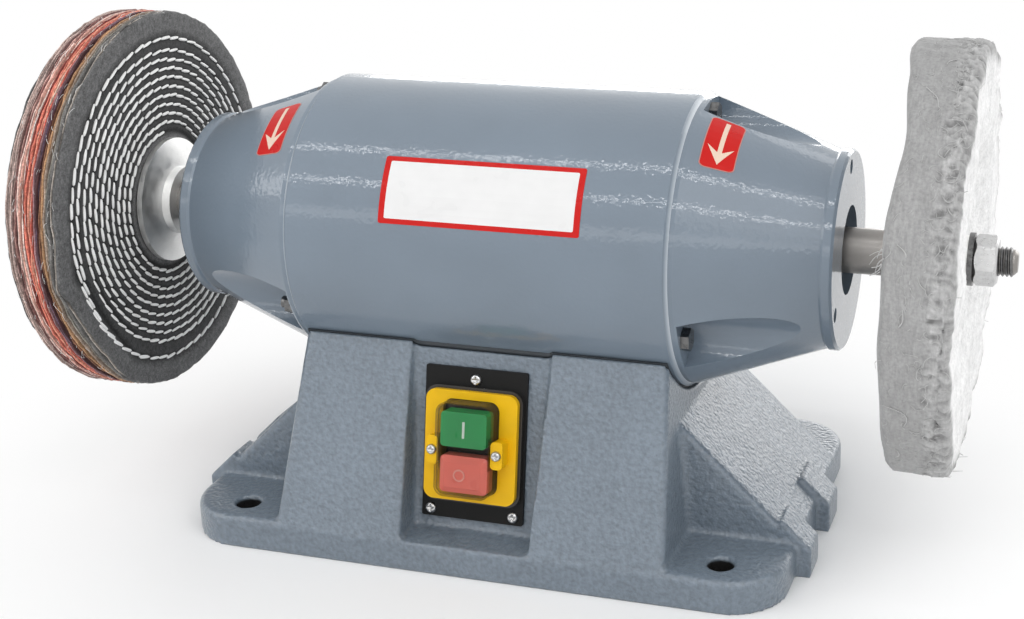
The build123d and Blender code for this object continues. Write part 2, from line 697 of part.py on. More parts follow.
with BuildPart() as right_end_bell:
    with BuildSketch(profile_plane):
        with BuildLine():
            Polyline(
                (bell_start, mouth_radius),
                (bell_start, bell_spigot),
                (joint_x, bell_spigot),
                (joint_x, bell_rim),
                (cone_x, bell_rim),
                (neck_x, neck_radius),
                (neck_x + COLLAR_EDGE, collar_radius),
                (face_x - COLLAR_EDGE, collar_radius),
                (face_x, collar_radius - COLLAR_EDGE),
                (face_x, mouth_radius),
                close=True,
            )
        make_face()
    revolve(axis=spindle_axis)
    add(bell_hollow.part, mode=Mode.SUBTRACT)
    with BuildSketch(cross_plane(hub_start)):
        Circle(BEARING_DIAMETER / 2 + FIT_GAP)
    extrude(amount=bearing_outer_x - hub_start, mode=Mode.SUBTRACT)
    with BuildSketch(cross_plane(scoop_x)):
        with PolarLocations(scoop_circle, TIE_COUNT, start_angle=90):
            Circle(SCOOP_RADIUS)
    extrude(amount=BELL_LENGTH, mode=Mode.SUBTRACT)
    with BuildSketch(cross_plane(bell_start)):
        with PolarLocations(tie_circle, TIE_COUNT, start_angle=90):
            Circle(TIE_HOLE_DIAMETER / 2)
    extrude(amount=BELL_SPIGOT + BELL_RIM, mode=Mode.SUBTRACT)
    with BuildSketch(cross_plane(face_x)):
        with PolarLocations(GUARD_CIRCLE_DIAMETER / 2, TIE_COUNT, start_angle=90):
            Circle(GUARD_HOLE_DIAMETER / 2)
    extrude(amount=-GUARD_HOLE_DEPTH, mode=Mode.SUBTRACT)

tie_nut_end = scoop_x + TIE_NUT_HEIGHT

with BuildPart() as tie_bolts:
    with BuildSketch(cross_plane(scoop_x)):
        with PolarLocations(tie_circle, TIE_COUNT, start_angle=90):
            RegularPolygon(TIE_HEAD_FLATS / 2, 6, major_radius=False)
    extrude(amount=TIE_HEAD_HEIGHT)
    with BuildSketch(cross_plane(scoop_x)):
        with PolarLocations(tie_circle, TIE_COUNT, start_angle=90):
            Circle(TIE_DIAMETER / 2)
    extrude(amount=-scoop_x - tie_nut_end - TIE_END)

with BuildPart() as tie_nuts:
    with BuildSketch(cross_plane(-tie_nut_end)):
        with PolarLocations(tie_circle, TIE_COUNT, start_angle=90):
            RegularPolygon(TIE_HEAD_FLATS / 2, 6, major_radius=False)
            Circle(TIE_DIAMETER / 2 + FIT_GAP, mode=Mode.SUBTRACT)
    extrude(amount=TIE_NUT_HEIGHT)

slot_middle = STATOR_BORE / 2 + SLOT_LIP + SLOT_DEPTH / 2
stator_radius = housing_bore - FIT_GAP

with BuildPart() as stator_core:
    with BuildSketch(cross_plane(0)):
        Circle(stator_radius)
        Circle(STATOR_BORE / 2, mode=Mode.SUBTRACT)
        with PolarLocations(slot_middle, SLOT_COUNT):
            Rectangle(SLOT_DEPTH, SLOT_WIDTH, mode=Mode.SUBTRACT)
        with PolarLocations(STATOR_BORE / 2 + SLOT_LIP / 2, SLOT_COUNT):
            Rectangle(SLOT_LIP * 2, SLOT_MOUTH, mode=Mode.SUBTRACT)
        with PolarLocations(tie_circle, TIE_COUNT, start_angle=90):
            Circle(TIE_DIAMETER / 2 + TIE_WALL_GAP, mode=Mode.SUBTRACT)
        with PolarLocations(stator_radius, TIE_COUNT, start_angle=90):
            Rectangle(2 * (stator_radius - tie_circle), TIE_DIAMETER, mode=Mode.SUBTRACT)
    extrude(amount=STATOR_LENGTH / 2, both=True)

with BuildPart() as stator_windings:
    with BuildSketch(cross_plane(0)):
        with PolarLocations(slot_middle, SLOT_COUNT):
            Rectangle(SLOT_DEPTH - 2 * SIDE_GAP, SLOT_WIDTH - 2 * SIDE_GAP)
    extrude(amount=STATOR_LENGTH / 2 + SLOT_LIP, both=True)
    for end_x in (STATOR_LENGTH / 2 + SIDE_GAP, -STATOR_LENGTH / 2 - WINDING_OVERHANG):
        with BuildSketch(cross_plane(end_x)):
            RegularPolygon(slot_middle + SLOT_DEPTH / 2, SLOT_COUNT, major_radius=False)
            RegularPolygon(
                slot_middle - SLOT_DEPTH / 2, SLOT_COUNT, major_radius=False, mode=Mode.SUBTRACT
            )
        extrude(amount=WINDING_OVERHANG - SIDE_GAP)

# Bearings: the left one sits further in, with the preload washer behind it
ring_outer = BEARING_DIAMETER / 2
ring_inner = BEARING_BORE / 2
left_bearing_x = bearing_outer_x - PRELOAD_THICKNESS


def bearing_outer_ring(outer_x):
    """Right-hand outer ring whose outboard face is at outer_x."""
    return ring(outer_x - BEARING_WIDTH, outer_x, ring_outer - BEARING_RING, ring_outer)


def bearing_inner_ring(outer_x):
    """Right-hand inner ring whose outboard face is at outer_x."""
    return ring(outer_x - BEARING_WIDTH, outer_x, ring_inner + FIT_GAP, ring_inner + BEARING_RING)


def bearing_shields(outer_x):
    """The two shields pressed into a right-hand outer ring; they clear the inner ring."""
    hole = ring_inner + BEARING_RING + RUNNING_GAP
    rim = ring_outer - BEARING_RING - FIT_GAP
    with BuildPart() as shields:
        for side_x in (outer_x - BEARING_WIDTH, outer_x - SHIELD_THICKNESS):
            with BuildSketch(cross_plane(side_x)):
                Circle(rim)
                Circle(hole, mode=Mode.SUBTRACT)
            extrude(amount=SHIELD_THICKNESS)
    return shields.part


right_bearing_outer_ring = bearing_outer_ring(bearing_outer_x)
right_bearing_inner_ring = bearing_inner_ring(bearing_outer_x)
right_bearing_shields = bearing_shields(bearing_outer_x)
left_bearing_outer_ring = mirrored(bearing_outer_ring(left_bearing_x))
left_bearing_inner_ring = mirrored(bearing_inner_ring(left_bearing_x))
left_bearing_shields = mirrored(bearing_shields(left_bearing_x))
preload_washer = ring(-bearing_outer_x, -left_bearing_x, mouth_radius, ring_outer)

# Spindle and everything that turns with it
bare_radius = BARE_DIAMETER / 2
seat_radius = WHEEL_SEAT_DIAMETER / 2
core_radius = THREAD_CORE_DIAMETER / 2
rotor_radius = STATOR_BORE / 2 - AIR_GAP
rotor_half = STATOR_LENGTH / 2
cloth_flange_x = wheel_x + CLOTH_HUB_WIDTH
cotton_flange_x = wheel_x + COTTON_HUB_WIDTH


def spindle_half(bearing_x, flange_x):
    """Points (x, radius) from the rotor seat out to one end of the spindle."""
    return [
        (bearing_x - BEARING_WIDTH, ROTOR_SEAT_DIAMETER / 2),
        (bearing_x - BEARING_WIDTH, ring_inner),
        (bearing_x + SHIELD_THICKNESS, ring_inner),
        (bearing_x + SHIELD_THICKNESS, bare_radius),
        (shoulder_x, bare_radius),
        (shoulder_x, seat_radius),
        (flange_x + FLANGE_RIM, seat_radius),
        (flange_x + FLANGE_RIM, core_radius),
        (spindle_end - SPINDLE_CHAMFER, core_radius),
        (spindle_end, core_radius - SPINDLE_CHAMFER),
        (spindle_end, 0),
    ]


right_points = spindle_half(bearing_outer_x, cotton_flange_x)
left_points = [(-x, radius) for x, radius in spindle_half(left_bearing_x, cloth_flange_x)]
spindle = turned(left_points[::-1] + right_points)

rotor = turned(
    [
        (-rotor_half - END_RING_LENGTH, END_RING_BORE / 2),
        (-rotor_half - END_RING_LENGTH, END_RING_DIAMETER / 2),
        (-rotor_half, END_RING_DIAMETER / 2),
        (-rotor_half, rotor_radius),
        (rotor_half, rotor_radius),
        (rotor_half, END_RING_DIAMETER / 2),
        (rotor_half + END_RING_LENGTH, END_RING_DIAMETER / 2),
        (rotor_half + END_RING_LENGTH, END_RING_BORE / 2),
        (rotor_half, END_RING_BORE / 2),
        (rotor_half, ROTOR_SEAT_DIAMETER / 2 + FIT_GAP),
        (-rotor_half, ROTOR_SEAT_DIAMETER / 2 + FIT_GAP),
        (-rotor_half, END_RING_BORE / 2),
    ]
)


def wheel_flange(contact_x, length, boss_radius):
    """A clamping flange that touches the wheel at contact_x; a negative length points inboard."""
    bore = seat_radius + FIT_GAP
    outward = 1 if length > 0 else -1
    return turned(
        [
            (contact_x, bore),
            (contact_x, FLANGE_DIAMETER / 2),
            (contact_x + outward * FLANGE_RIM, FLANGE_DIAMETER / 2),
            (contact_x + outward * (FLANGE_RIM + FLANGE_CONE), boss_radius),
            (contact_x + length, boss_radius),
            (contact_x + length, bore),
        ]
    )


def inner_flange():
    """Right-hand inner flange, seated on the spindle's shoulder."""
    return wheel_flange(wheel_x, -FLANGE_LENGTH, FLANGE_BOSS_DIAMETER / 2)


def outer_flange(contact_x):
    """Right-hand outer flange, under the washer."""
    return wheel_flange(contact_x, OUTER_FLANGE_LENGTH, OUTER_BOSS_DIAMETER / 2)


def washer(inner_x):
    """Right-hand plain washer seated at inner_x."""
    return ring(inner_x, inner_x + WASHER_THICKNESS, WASHER_BORE / 2, WASHER_DIAMETER / 2)


def spindle_nut(inner_x):
    """A right-hand hexagon nut, chamfered on both faces, seated at inner_x."""
    bevel_radius = NUT_FLATS / 2 - NUT_BEVEL / 2
    corner_radius = bevel_radius + NUT_BEVEL / tan(radians(NUT_BEVEL_ANGLE))
    with BuildPart() as nut:
        add(
            turned(
                [
                    (inner_x, core_radius + FIT_GAP),
                    (inner_x, bevel_radius),
                    (inner_x + NUT_BEVEL, corner_radius),
                    (inner_x + NUT_HEIGHT - NUT_BEVEL, corner_radius),
                    (inner_x + NUT_HEIGHT, bevel_radius),
                    (inner_x + NUT_HEIGHT, core_radius + FIT_GAP),
                ]
            )
        )
        with BuildSketch(cross_plane(inner_x)):
            RegularPolygon(NUT_FLATS / 2, 6, major_radius=False, rotation=NUT_TURN)
        extrude(amount=NUT_HEIGHT, mode=Mode.INTERSECT)
    return nut.part


cotton_washer_x = cotton_flange_x + OUTER_FLANGE_LENGTH
cloth_washer_x = cloth_flange_x + OUTER_FLANGE_LENGTH
right_inner_flange = inner_flange()
right_outer_flange = outer_flange(cotton_flange_x)
right_washer = washer(cotton_washer_x)
right_spindle_nut = spindle_nut(cotton_washer_x + WASHER_THICKNESS)
left_inner_flange = mirrored(inner_flange())
left_outer_flange = mirrored(outer_flange(cloth_flange_x))
left_washer = mirrored(washer(cloth_washer_x))
left_spindle_nut = mirrored(spindle_nut(cloth_washer_x + WASHER_THICKNESS))

wheel_bore = seat_radius + FIT_GAP
hub_edge = FLANGE_DIAMETER / 2 + FLANGE_RIM
cloth_radius = WHEEL_DIAMETER / 2
ply_width = CLOTH_WIDTH / CLOTH_PLIES
cloth_points = [(wheel_x, wheel_bore)]
for ply in range(CLOTH_PLIES):
    ply_x = wheel_x + ply * ply_width
    cloth_points += [
        (ply_x, cloth_radius - CLOTH_PLY_GROOVE),
        (ply_x + CLOTH_PLY_GROOVE, cloth_radius),
        (ply_x + ply_width - CLOTH_PLY_GROOVE, cloth_radius),
    ]
cloth_points += [
    (wheel_x + CLOTH_WIDTH, cloth_radius - CLOTH_PLY_GROOVE),
    (wheel_x + CLOTH_WIDTH, hub_edge + HUB_BLEND),
    (cloth_flange_x, hub_edge),
    (cloth_flange_x, wheel_bore),
]
left_cloth_wheel = mirrored(turned(cloth_points))

cotton_radius = COTTON_DIAMETER / 2
cotton_middle = wheel_x + COTTON_HUB_WIDTH / 2
cotton_half = COTTON_WIDTH / 2
right_cotton_wheel = turned(
    [
        (wheel_x, wheel_bore),
        (wheel_x, hub_edge),
        (cotton_middle - cotton_half, hub_edge + HUB_BLEND),
        (cotton_middle - cotton_half, cotton_radius - COTTON_EDGE),
        (cotton_middle - cotton_half + COTTON_EDGE / 2, cotton_radius),
        (cotton_middle + cotton_half - COTTON_EDGE / 2, cotton_radius),
        (cotton_middle + cotton_half, cotton_radius - COTTON_EDGE),
        (cotton_middle + cotton_half, hub_edge + HUB_BLEND),
        (cotton_flange_x, hub_edge),
        (cotton_flange_x, wheel_bore),
    ]
)

# Switch: plate, body, frame, clear cover and the two buttons
switch_axis = Axis(switch_plane.origin, switch_plane.z_dir)
stem_places = [(0, START_UP), (0, -STOP_DOWN)]
frame_screw_places = [
    (-FRAME_SCREW_SPREAD / 2, -FRAME_SCREW_DROP),
    (FRAME_SCREW_SPREAD / 2, -FRAME_SCREW_DROP),
]
button_foot = frame_base + RUNNING_GAP + BUTTON_TRAVEL
button_face = frame_face + BUTTON_FACE
stem_end = button_foot - STEM_LENGTH
boss_face = frame_face + FRAME_BOSS_RISE


def switch_level(height):
    """Plane parallel to the recess floor, height above it."""
    return switch_plane.offset(height)


with BuildPart() as switch_plate:
    with BuildSketch(switch_level(0)):
        RectangleRounded(PLATE_WIDTH, PLATE_HEIGHT, PLATE_CORNER)
        with Locations((0, -BODY_DROP)):
            Rectangle(BODY_WIDTH + 2 * SIDE_GAP, BODY_HEIGHT + 2 * SIDE_GAP, mode=Mode.SUBTRACT)
        with Locations(*plate_screw_places):
            Circle(PLATE_SCREW_DIAMETER / 2 + SIDE_GAP, mode=Mode.SUBTRACT)
    extrude(amount=PLATE_THICKNESS)

with BuildPart() as switch_body:
    with BuildSketch(switch_level(PLATE_THICKNESS)):
        RectangleRounded(
            FRAME_WIDTH + 2 * BODY_FLANGE_EDGE,
            FRAME_HEIGHT + 2 * BODY_FLANGE_EDGE,
            FRAME_CORNER + BODY_FLANGE_EDGE,
        )
    extrude(amount=BODY_FLANGE)
    with BuildSketch(switch_level(PLATE_THICKNESS)):
        with Locations((0, -BODY_DROP)):
            Rectangle(BODY_WIDTH, BODY_HEIGHT)
    extrude(amount=-PLATE_THICKNESS - BODY_DEPTH)
    with BuildSketch(switch_level(frame_base)):
        with Locations(*stem_places):
            Rectangle(STEM_WIDTH + 2 * RUNNING_GAP, STEM_HEIGHT + 2 * RUNNING_GAP)
    extrude(amount=stem_end - BUTTON_TRAVEL - RUNNING_GAP - frame_base, mode=Mode.SUBTRACT)
    with BuildSketch(switch_level(frame_base)):
        with Locations(*frame_screw_places):
            Circle(FRAME_SCREW_DIAMETER / 2 + FIT_GAP)
    extrude(amount=-BODY_FLANGE, mode=Mode.SUBTRACT)

with BuildPart() as switch_frame:
    with BuildSketch(switch_level(frame_base)):
        RectangleRounded(FRAME_WIDTH, FRAME_HEIGHT, FRAME_CORNER)
        RectangleRounded(WINDOW_WIDTH, WINDOW_HEIGHT, WINDOW_CORNER, mode=Mode.SUBTRACT)
    extrude(amount=FRAME_THICKNESS)
    with BuildSketch(switch_level(frame_base)):
        with Locations(*frame_screw_places):
            RectangleRounded(FRAME_BOSS_WIDTH, FRAME_BOSS_HEIGHT, FRAME_BOSS_WIDTH / 3)
    extrude(amount=boss_face - frame_base)
    with BuildSketch(switch_level(boss_face)):
        with Locations(*frame_screw_places):
            Circle(FRAME_SCREW_DIAMETER / 2 + SIDE_GAP)
    extrude(amount=frame_base - boss_face, mode=Mode.SUBTRACT)


def cover_block(inset, height):
    """The clear cover's outer form, drawn in by inset; it is waisted to clear the frame's bosses."""
    width = WINDOW_WIDTH - 2 * SIDE_GAP - 2 * inset
    with BuildPart() as block:
        with BuildSketch(switch_level(frame_base)):
            RectangleRounded(width, WINDOW_HEIGHT - 2 * SIDE_GAP - 2 * inset, WINDOW_CORNER - inset)
            with Locations(*frame_screw_places):
                Rectangle(
                    FRAME_BOSS_WIDTH + 2 * SIDE_GAP + 2 * inset,
                    FRAME_BOSS_HEIGHT + 2 * SIDE_GAP + 2 * inset,
                    mode=Mode.SUBTRACT,
                )
        extrude(amount=height)
        chamfer(block.faces().sort_by(switch_axis)[-1].edges(), COVER_EDGE)
    return block.part


with BuildPart() as switch_cover:
    add(cover_block(0, FRAME_THICKNESS + COVER_HEIGHT))
    add(cover_block(COVER_WALL, FRAME_THICKNESS + COVER_HEIGHT - COVER_WALL), mode=Mode.SUBTRACT)

with BuildPart() as start_button:
    with BuildSketch(switch_level(button_foot)):
        with Locations(stem_places[0]):
            RectangleRounded(START_WIDTH, START_HEIGHT, BUTTON_CORNER)
    extrude(amount=button_face - button_foot)
    with BuildSketch(switch_level(button_foot)):
        with Locations(stem_places[0]):
            Rectangle(STEM_WIDTH, STEM_HEIGHT)
    extrude(amount=-STEM_LENGTH)

with BuildPart() as stop_button:
    with BuildSketch(switch_level(button_foot)):
        with Locations(stem_places[1]):
            RectangleRounded(STOP_WIDTH, STOP_HEIGHT, BUTTON_CORNER)
    extrude(amount=button_face - STOP_CROWN - button_foot)
    with BuildSketch(switch_level(button_face - STOP_CROWN)):
        with Locations(stem_places[1]):
            RectangleRounded(STOP_WIDTH, STOP_HEIGHT, BUTTON_CORNER)
    extrude(amount=STOP_CROWN, taper=STOP_TAPER)
    with BuildSketch(switch_level(button_foot)):
        with Locations(stem_places[1]):
            Rectangle(STEM_WIDTH, STEM_HEIGHT)
    extrude(amount=-STEM_LENGTH)


def pan_screws(places, seat, diameter, length, head_diameter, head_height):
    """Pan-head screws square to the recess floor, heads seated at height seat."""
    with BuildPart() as screws:
        with BuildSketch(switch_level(seat)):
            with Locations(*places):
                Circle(head_diameter / 2)
        extrude(amount=head_height)
        with BuildSketch(switch_level(seat)):
            with Locations(*places):
                Circle(diameter / 2)
        extrude(amount=-length)
    return screws.part


plate_screws = pan_screws(
    plate_screw_places,
    PLATE_THICKNESS,
    PLATE_SCREW_DIAMETER,
    PLATE_SCREW_LENGTH,
    PLATE_SCREW_HEAD,
    PLATE_SCREW_HEAD_HEIGHT,
)
frame_screws = pan_screws(
    frame_screw_places,
    boss_face,
    FRAME_SCREW_DIAMETER,
    FRAME_SCREW_LENGTH,
    FRAME_SCREW_HEAD,
    FRAME_SCREW_HEAD_HEIGHT,
)

# Inside the pedestal: capacitor, its clamp, terminal block and cable gland
capacitor_radius = CAPACITOR_DIAMETER / 2
strap_radius = capacitor_radius + FIT_GAP + CLAMP_THICKNESS
capacitor_z = cover_inner_z + CAPACITOR_LIFT + strap_radius

with BuildPart() as capacitor:
    with BuildSketch(Plane.YZ.offset(-CAPACITOR_LENGTH / 2)):
        with Locations((CAPACITOR_Y, capacitor_z)):
            Circle(capacitor_radius)
    extrude(amount=CAPACITOR_LENGTH)
    with BuildSketch(Plane.YZ.offset(CAPACITOR_LENGTH / 2)):
        with Locations((CAPACITOR_Y, capacitor_z)):
            with GridLocations(capacitor_radius, 0, 2, 1):
                Rectangle(CAPACITOR_BLADE_THICKNESS, CAPACITOR_BLADE_WIDTH)
    extrude(amount=CAPACITOR_BLADE_LENGTH)

with BuildPart() as capacitor_clamp:
    with BuildSketch(Plane.YZ):
        with Locations((CAPACITOR_Y, capacitor_z)):
            Circle(strap_radius)
        with Locations((CAPACITOR_Y, cover_inner_z)):
            Rectangle(
                2 * (capacitor_radius + CLAMP_FOOT),
                CAPACITOR_LIFT + CLAMP_THICKNESS,
                align=(Align.CENTER, Align.MIN),
            )
        with Locations((CAPACITOR_Y, capacitor_z)):
            Circle(capacitor_radius + FIT_GAP, mode=Mode.SUBTRACT)
    extrude(amount=CLAMP_WIDTH / 2, both=True)

with BuildPart() as terminal_block:
    with Locations((TERMINAL_X, CAPACITOR_Y, cover_inner_z)):
        Box(
            TERMINAL_LENGTH,
            TERMINAL_DEPTH,
            TERMINAL_HEIGHT,
            align=(Align.CENTER, Align.CENTER, Align.MIN),
        )
    with BuildSketch(Plane.XY.offset(cover_inner_z + TERMINAL_HEIGHT)):
        with Locations((TERMINAL_X, CAPACITOR_Y)):
            with GridLocations(TERMINAL_LENGTH / TERMINAL_COUNT, 0, TERMINAL_COUNT, 1):
                Circle(TERMINAL_HOLE / 2)
    extrude(amount=-TERMINAL_HEIGHT / 2, mode=Mode.SUBTRACT)

with BuildPart() as cable_gland:
    with BuildSketch(gland_plane):
        Circle(GLAND_THREAD_DIAMETER / 2)
    extrude(amount=-gland_wall - GLAND_NUT_THICKNESS - GLAND_THREAD_END)
    with BuildSketch(gland_plane):
        RegularPolygon(GLAND_FLATS / 2, 6, major_radius=False)
    extrude(amount=GLAND_HEX)
    with BuildSketch(gland_plane.offset(GLAND_HEX)):
        Circle(GLAND_CAP_DIAMETER / 2)
    extrude(amount=GLAND_CAP)
    with BuildSketch(gland_plane.offset(GLAND_HEX + GLAND_CAP)):
        Circle(GLAND_CORD_DIAMETER / 2)
    extrude(amount=-2 * (GLAND_HEX + GLAND_CAP + CASTING_WALL), mode=Mode.SUBTRACT)

ceiling_z = SPINDLE_HEIGHT - saddle_radius - CASTING_WALL
with BuildPart() as lead_grommet:
    with BuildSketch(Plane.XY.offset(ceiling_z)):
        with Locations((LEAD_HOLE_X, 0)):
            Circle(GROMMET_DIAMETER / 2)
    extrude(amount=-GROMMET_LIP)
    with BuildSketch(Plane.XY.offset(ceiling_z)):
        with Locations((LEAD_HOLE_X, 0)):
            Circle(LEAD_HOLE_DIAMETER / 2 - FIT_GAP)
    extrude(amount=CASTING_WALL)
    with BuildSketch(Plane.XY.offset(ceiling_z - GROMMET_LIP)):
        with Locations((LEAD_HOLE_X, 0)):
            Circle(LEAD_HOLE_DIAMETER / 2 - GROMMET_SIDE)
    extrude(amount=GROMMET_LIP + CASTING_WALL - GROMMET_SKIN, mode=Mode.SUBTRACT)

with BuildPart() as gland_lock_nut:
    with BuildSketch(gland_plane.offset(-gland_wall)):
        RegularPolygon(GLAND_FLATS / 2, 6, major_radius=False)
        Circle(GLAND_THREAD_DIAMETER / 2 + FIT_GAP, mode=Mode.SUBTRACT)
    extrude(amount=-GLAND_NUT_THICKNESS)

# Every piece is written under its own name.
pieces = {
    "base_casting": base_casting.part,
    "saddle_gasket": saddle_gasket.part,
    "bottom_cover": bottom_cover.part,
    "cover_screws": cover_screws.part,
    "housing_bolts": housing_bolts.part,
    "motor_housing": motor_housing.part,
    "left_end_bell": mirrored(right_end_bell.part),
    "right_end_bell": right_end_bell.part,
    "tie_bolts": tie_bolts.part,
    "tie_nuts": tie_nuts.part,
    "stator_core": stator_core.part,
    "stator_windings": stator_windings.part,
    "left_bearing_outer_ring": left_bearing_outer_ring,
    "right_bearing_outer_ring": right_bearing_outer_ring,
    "left_bearing_shields": left_bearing_shields,
    "right_bearing_shields": right_bearing_shields,
    "preload_washer": preload_washer,
    "switch_plate": switch_plate.part,
    "switch_body": switch_body.part,
    "switch_frame": switch_frame.part,
    "switch_cover": switch_cover.part,
    "plate_screws": plate_screws,
    "frame_screws": frame_screws,
    "capacitor": capacitor.part,
    "capacitor_clamp": capacitor_clamp.part,
    "terminal_block": terminal_block.part,
    "cable_gland": cable_gland.part,
    "gland_lock_nut": gland_lock_nut.part,
    "lead_grommet": lead_grommet.part,
    "spindle": spindle,
    "rotor": rotor,
    "left_bearing_inner_ring": left_bearing_inner_ring,
    "right_bearing_inner_ring": right_bearing_inner_ring,
    "left_inner_flange": left_inner_flange,
    "left_outer_flange": left_outer_flange,
    "left_washer": left_washer,
    "left_spindle_nut": left_spindle_nut,
    "left_cloth_wheel": left_cloth_wheel,
    "right_inner_flange": right_inner_flange,
    "right_outer_flange": right_outer_flange,
    "right_washer": right_washer,
    "right_spindle_nut": right_spindle_nut,
    "right_cotton_wheel": right_cotton_wheel,
    "start_button": start_button.part,
    "stop_button": stop_button.part,
}
os.makedirs("parts", exist_ok=True)
for name, piece in pieces.items():
    piece.label = name
    export_step(piece, f"parts/{name}.step")
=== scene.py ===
"""Finishes of a bench polishing machine, laid out as an add-on and run as a script."""

import math
import random

import bmesh
import bpy
from bpy.props import FloatProperty, FloatVectorProperty, IntProperty, PointerProperty
from mathutils import Matrix, Vector, noise
from mathutils.bvhtree import BVHTree


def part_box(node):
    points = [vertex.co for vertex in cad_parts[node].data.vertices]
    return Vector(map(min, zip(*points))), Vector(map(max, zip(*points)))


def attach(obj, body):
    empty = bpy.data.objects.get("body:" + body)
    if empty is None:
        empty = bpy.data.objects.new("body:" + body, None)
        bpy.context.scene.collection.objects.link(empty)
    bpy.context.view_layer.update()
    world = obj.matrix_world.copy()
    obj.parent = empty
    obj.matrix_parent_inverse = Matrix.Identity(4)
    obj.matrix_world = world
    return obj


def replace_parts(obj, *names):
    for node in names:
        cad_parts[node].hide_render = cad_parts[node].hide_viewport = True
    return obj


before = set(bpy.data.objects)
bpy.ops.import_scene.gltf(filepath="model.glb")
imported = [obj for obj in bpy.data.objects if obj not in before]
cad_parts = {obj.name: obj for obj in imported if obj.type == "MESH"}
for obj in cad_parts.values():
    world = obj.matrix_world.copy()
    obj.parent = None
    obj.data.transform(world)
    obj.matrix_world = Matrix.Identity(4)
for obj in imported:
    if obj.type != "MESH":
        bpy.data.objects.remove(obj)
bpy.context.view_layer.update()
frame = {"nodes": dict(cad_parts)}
NODES = frame["nodes"]

bl_info = {
    "name": "Polishing Machine Finishes",
    "version": (1, 0, 0),
    "blender": (4, 5, 0),
    "location": "View3D > Sidebar > Polisher",
    "description": "Paint, wheels, labels, switch marks and stage of a bench polishing machine",
    "category": "Object",
}

MM = 0.001
SPINDLE_LOW, SPINDLE_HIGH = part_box("spindle")
SPINDLE_Z = (SPINDLE_LOW.z + SPINDLE_HIGH.z) / 2
SPINDLE_POINT = Vector((0, 0, SPINDLE_Z))
BENCH_HOLE_X, BENCH_HOLE_Y = 123.0 * MM, 78.5 * MM
BENCH_HOLE_RADIUS = 6.5 * MM
BENCH_HOLE_RIM = 15.2 * MM
SKIN_SLACK = 0.5 * MM  # how far the rounded cast skin may lie off the solid
WHEEL_BORE = 8.05 * MM
SWITCH_LEAN = math.radians(12)
SWITCH_POINT = Vector((-2.0, -66.964, 57.848)) * MM  # middle of the switch plate's back
PICTURE_WIDE, PICTURE_TALL = 1024, 619
LAMPS = (  # name, setting, part of its power, place, width and height
    ("Key", "key", 1.0, (1.3, -1.0, 1.5), 1.6, 1.6),
    ("Left", "left", 1.0, (-1.5, -0.8, 1.0), 0.9, 0.9),
    ("Right", "right", 1.0, (1.0, 1.3, 1.2), 1.2, 1.2),
    ("Tube high", "tube", 1.0, (0.2, -0.52, 1.5), 2.8, 0.04),
    ("Tube middle", "tube", 1.0, (0.2, -1.15, 1.2), 2.8, 0.04),
    ("Tube low", "tube", 0.6, (0.2, -1.5, 0.60), 2.8, 0.2),
    ("Back", "back", 1.0, (0.3, 1.55, 0.42), 2.2, 0.4),
)


# Sizes and colours that a user would change


def length(name, description, millimetres):
    """A length property; its default is given in millimetres."""
    return FloatProperty(name=name, description=description, default=millimetres * MM, unit="LENGTH")


def fraction(name, description, default):
    """A property from nought to one."""
    return FloatProperty(name=name, description=description, default=default, min=0, max=1, subtype="FACTOR")


def colour(name, description, default):
    """A linear colour property."""
    return FloatVectorProperty(
        name=name, description=description, default=default, size=3, min=0, max=1, subtype="COLOR"
    )


def angle(name, description, degrees):
    """An angle property; its default is given in degrees."""
    return FloatProperty(name=name, description=description, default=math.radians(degrees), unit="ROTATION")


def amount(name, description, default):
    """A count of pieces."""
    return IntProperty(name=name, description=description, default=default, min=0)


def power(name, description, watts):
    """The power of a lamp."""
    return FloatProperty(name=name, description=description, default=watts, min=0, unit="POWER")


def pixels(name, description, default):
    """A measure in picture pixels."""
    return FloatProperty(name=name, description=description, default=default)


class PaintSettings(bpy.types.PropertyGroup):
    """Paint of the casting and the motor."""

    casting: colour("Casting", "Paint over the rough casting", (0.152, 0.188, 0.228))
    motor: colour("Motor", "Gloss paint of the housing and end bells", (0.162, 0.206, 0.256))
    # Painted highlight: a pale colour on the housing's rims beside the end bells, standing for light caught by
    # their edges.
    painted_rim_highlight: colour("Thin", "Paint worn thin on the rims of the housing", (0.46, 0.51, 0.56))
    rim_starts: length("Rim starts", "Where the housing's rims start along the spindle", 94.4)
    rim_ends: length("Rim ends", "Where the housing's rims end along the spindle", 95.99)
    cast_grain: length("Cast grain", "Size of the lumps in the casting's paint", 2.1)
    skin_voxel: length("Skin voxel", "Cell size of the rounded casting skin", 1.25)
    skin_kept: fraction("Skin kept", "Part of the casting skin's faces that is kept", 0.34)


class SewnWheelSettings(bpy.types.PropertyGroup):
    """The stitched cloth wheel."""

    stitch_share: FloatProperty(
        name="Stitch share", description="Length of a stitch against the stitch spacing", default=1.03, min=0
    )
    thread: length("Thread", "Thread thickness", 1.65)
    outer_ring: length("Outer ring", "Radius of the outermost ring of stitches", 85.8)
    inner_ring: length("Inner ring", "Radius where the spiral of stitches starts", 36.8)
    spiral_pitch: length("Spiral pitch", "Line to line across the spiral", 4.75)
    wave: length("Wave", "How far the plies wander at the rim", 0.7)
    bend: length("Bend", "How far the front of the wheel has bent outwards", 3.2)
    face: colour("Face cloth", "Dark cloth of the two faces", (0.128, 0.128, 0.129))
    stitching: colour("Stitching", "Undyed thread", (0.98, 0.98, 0.97))


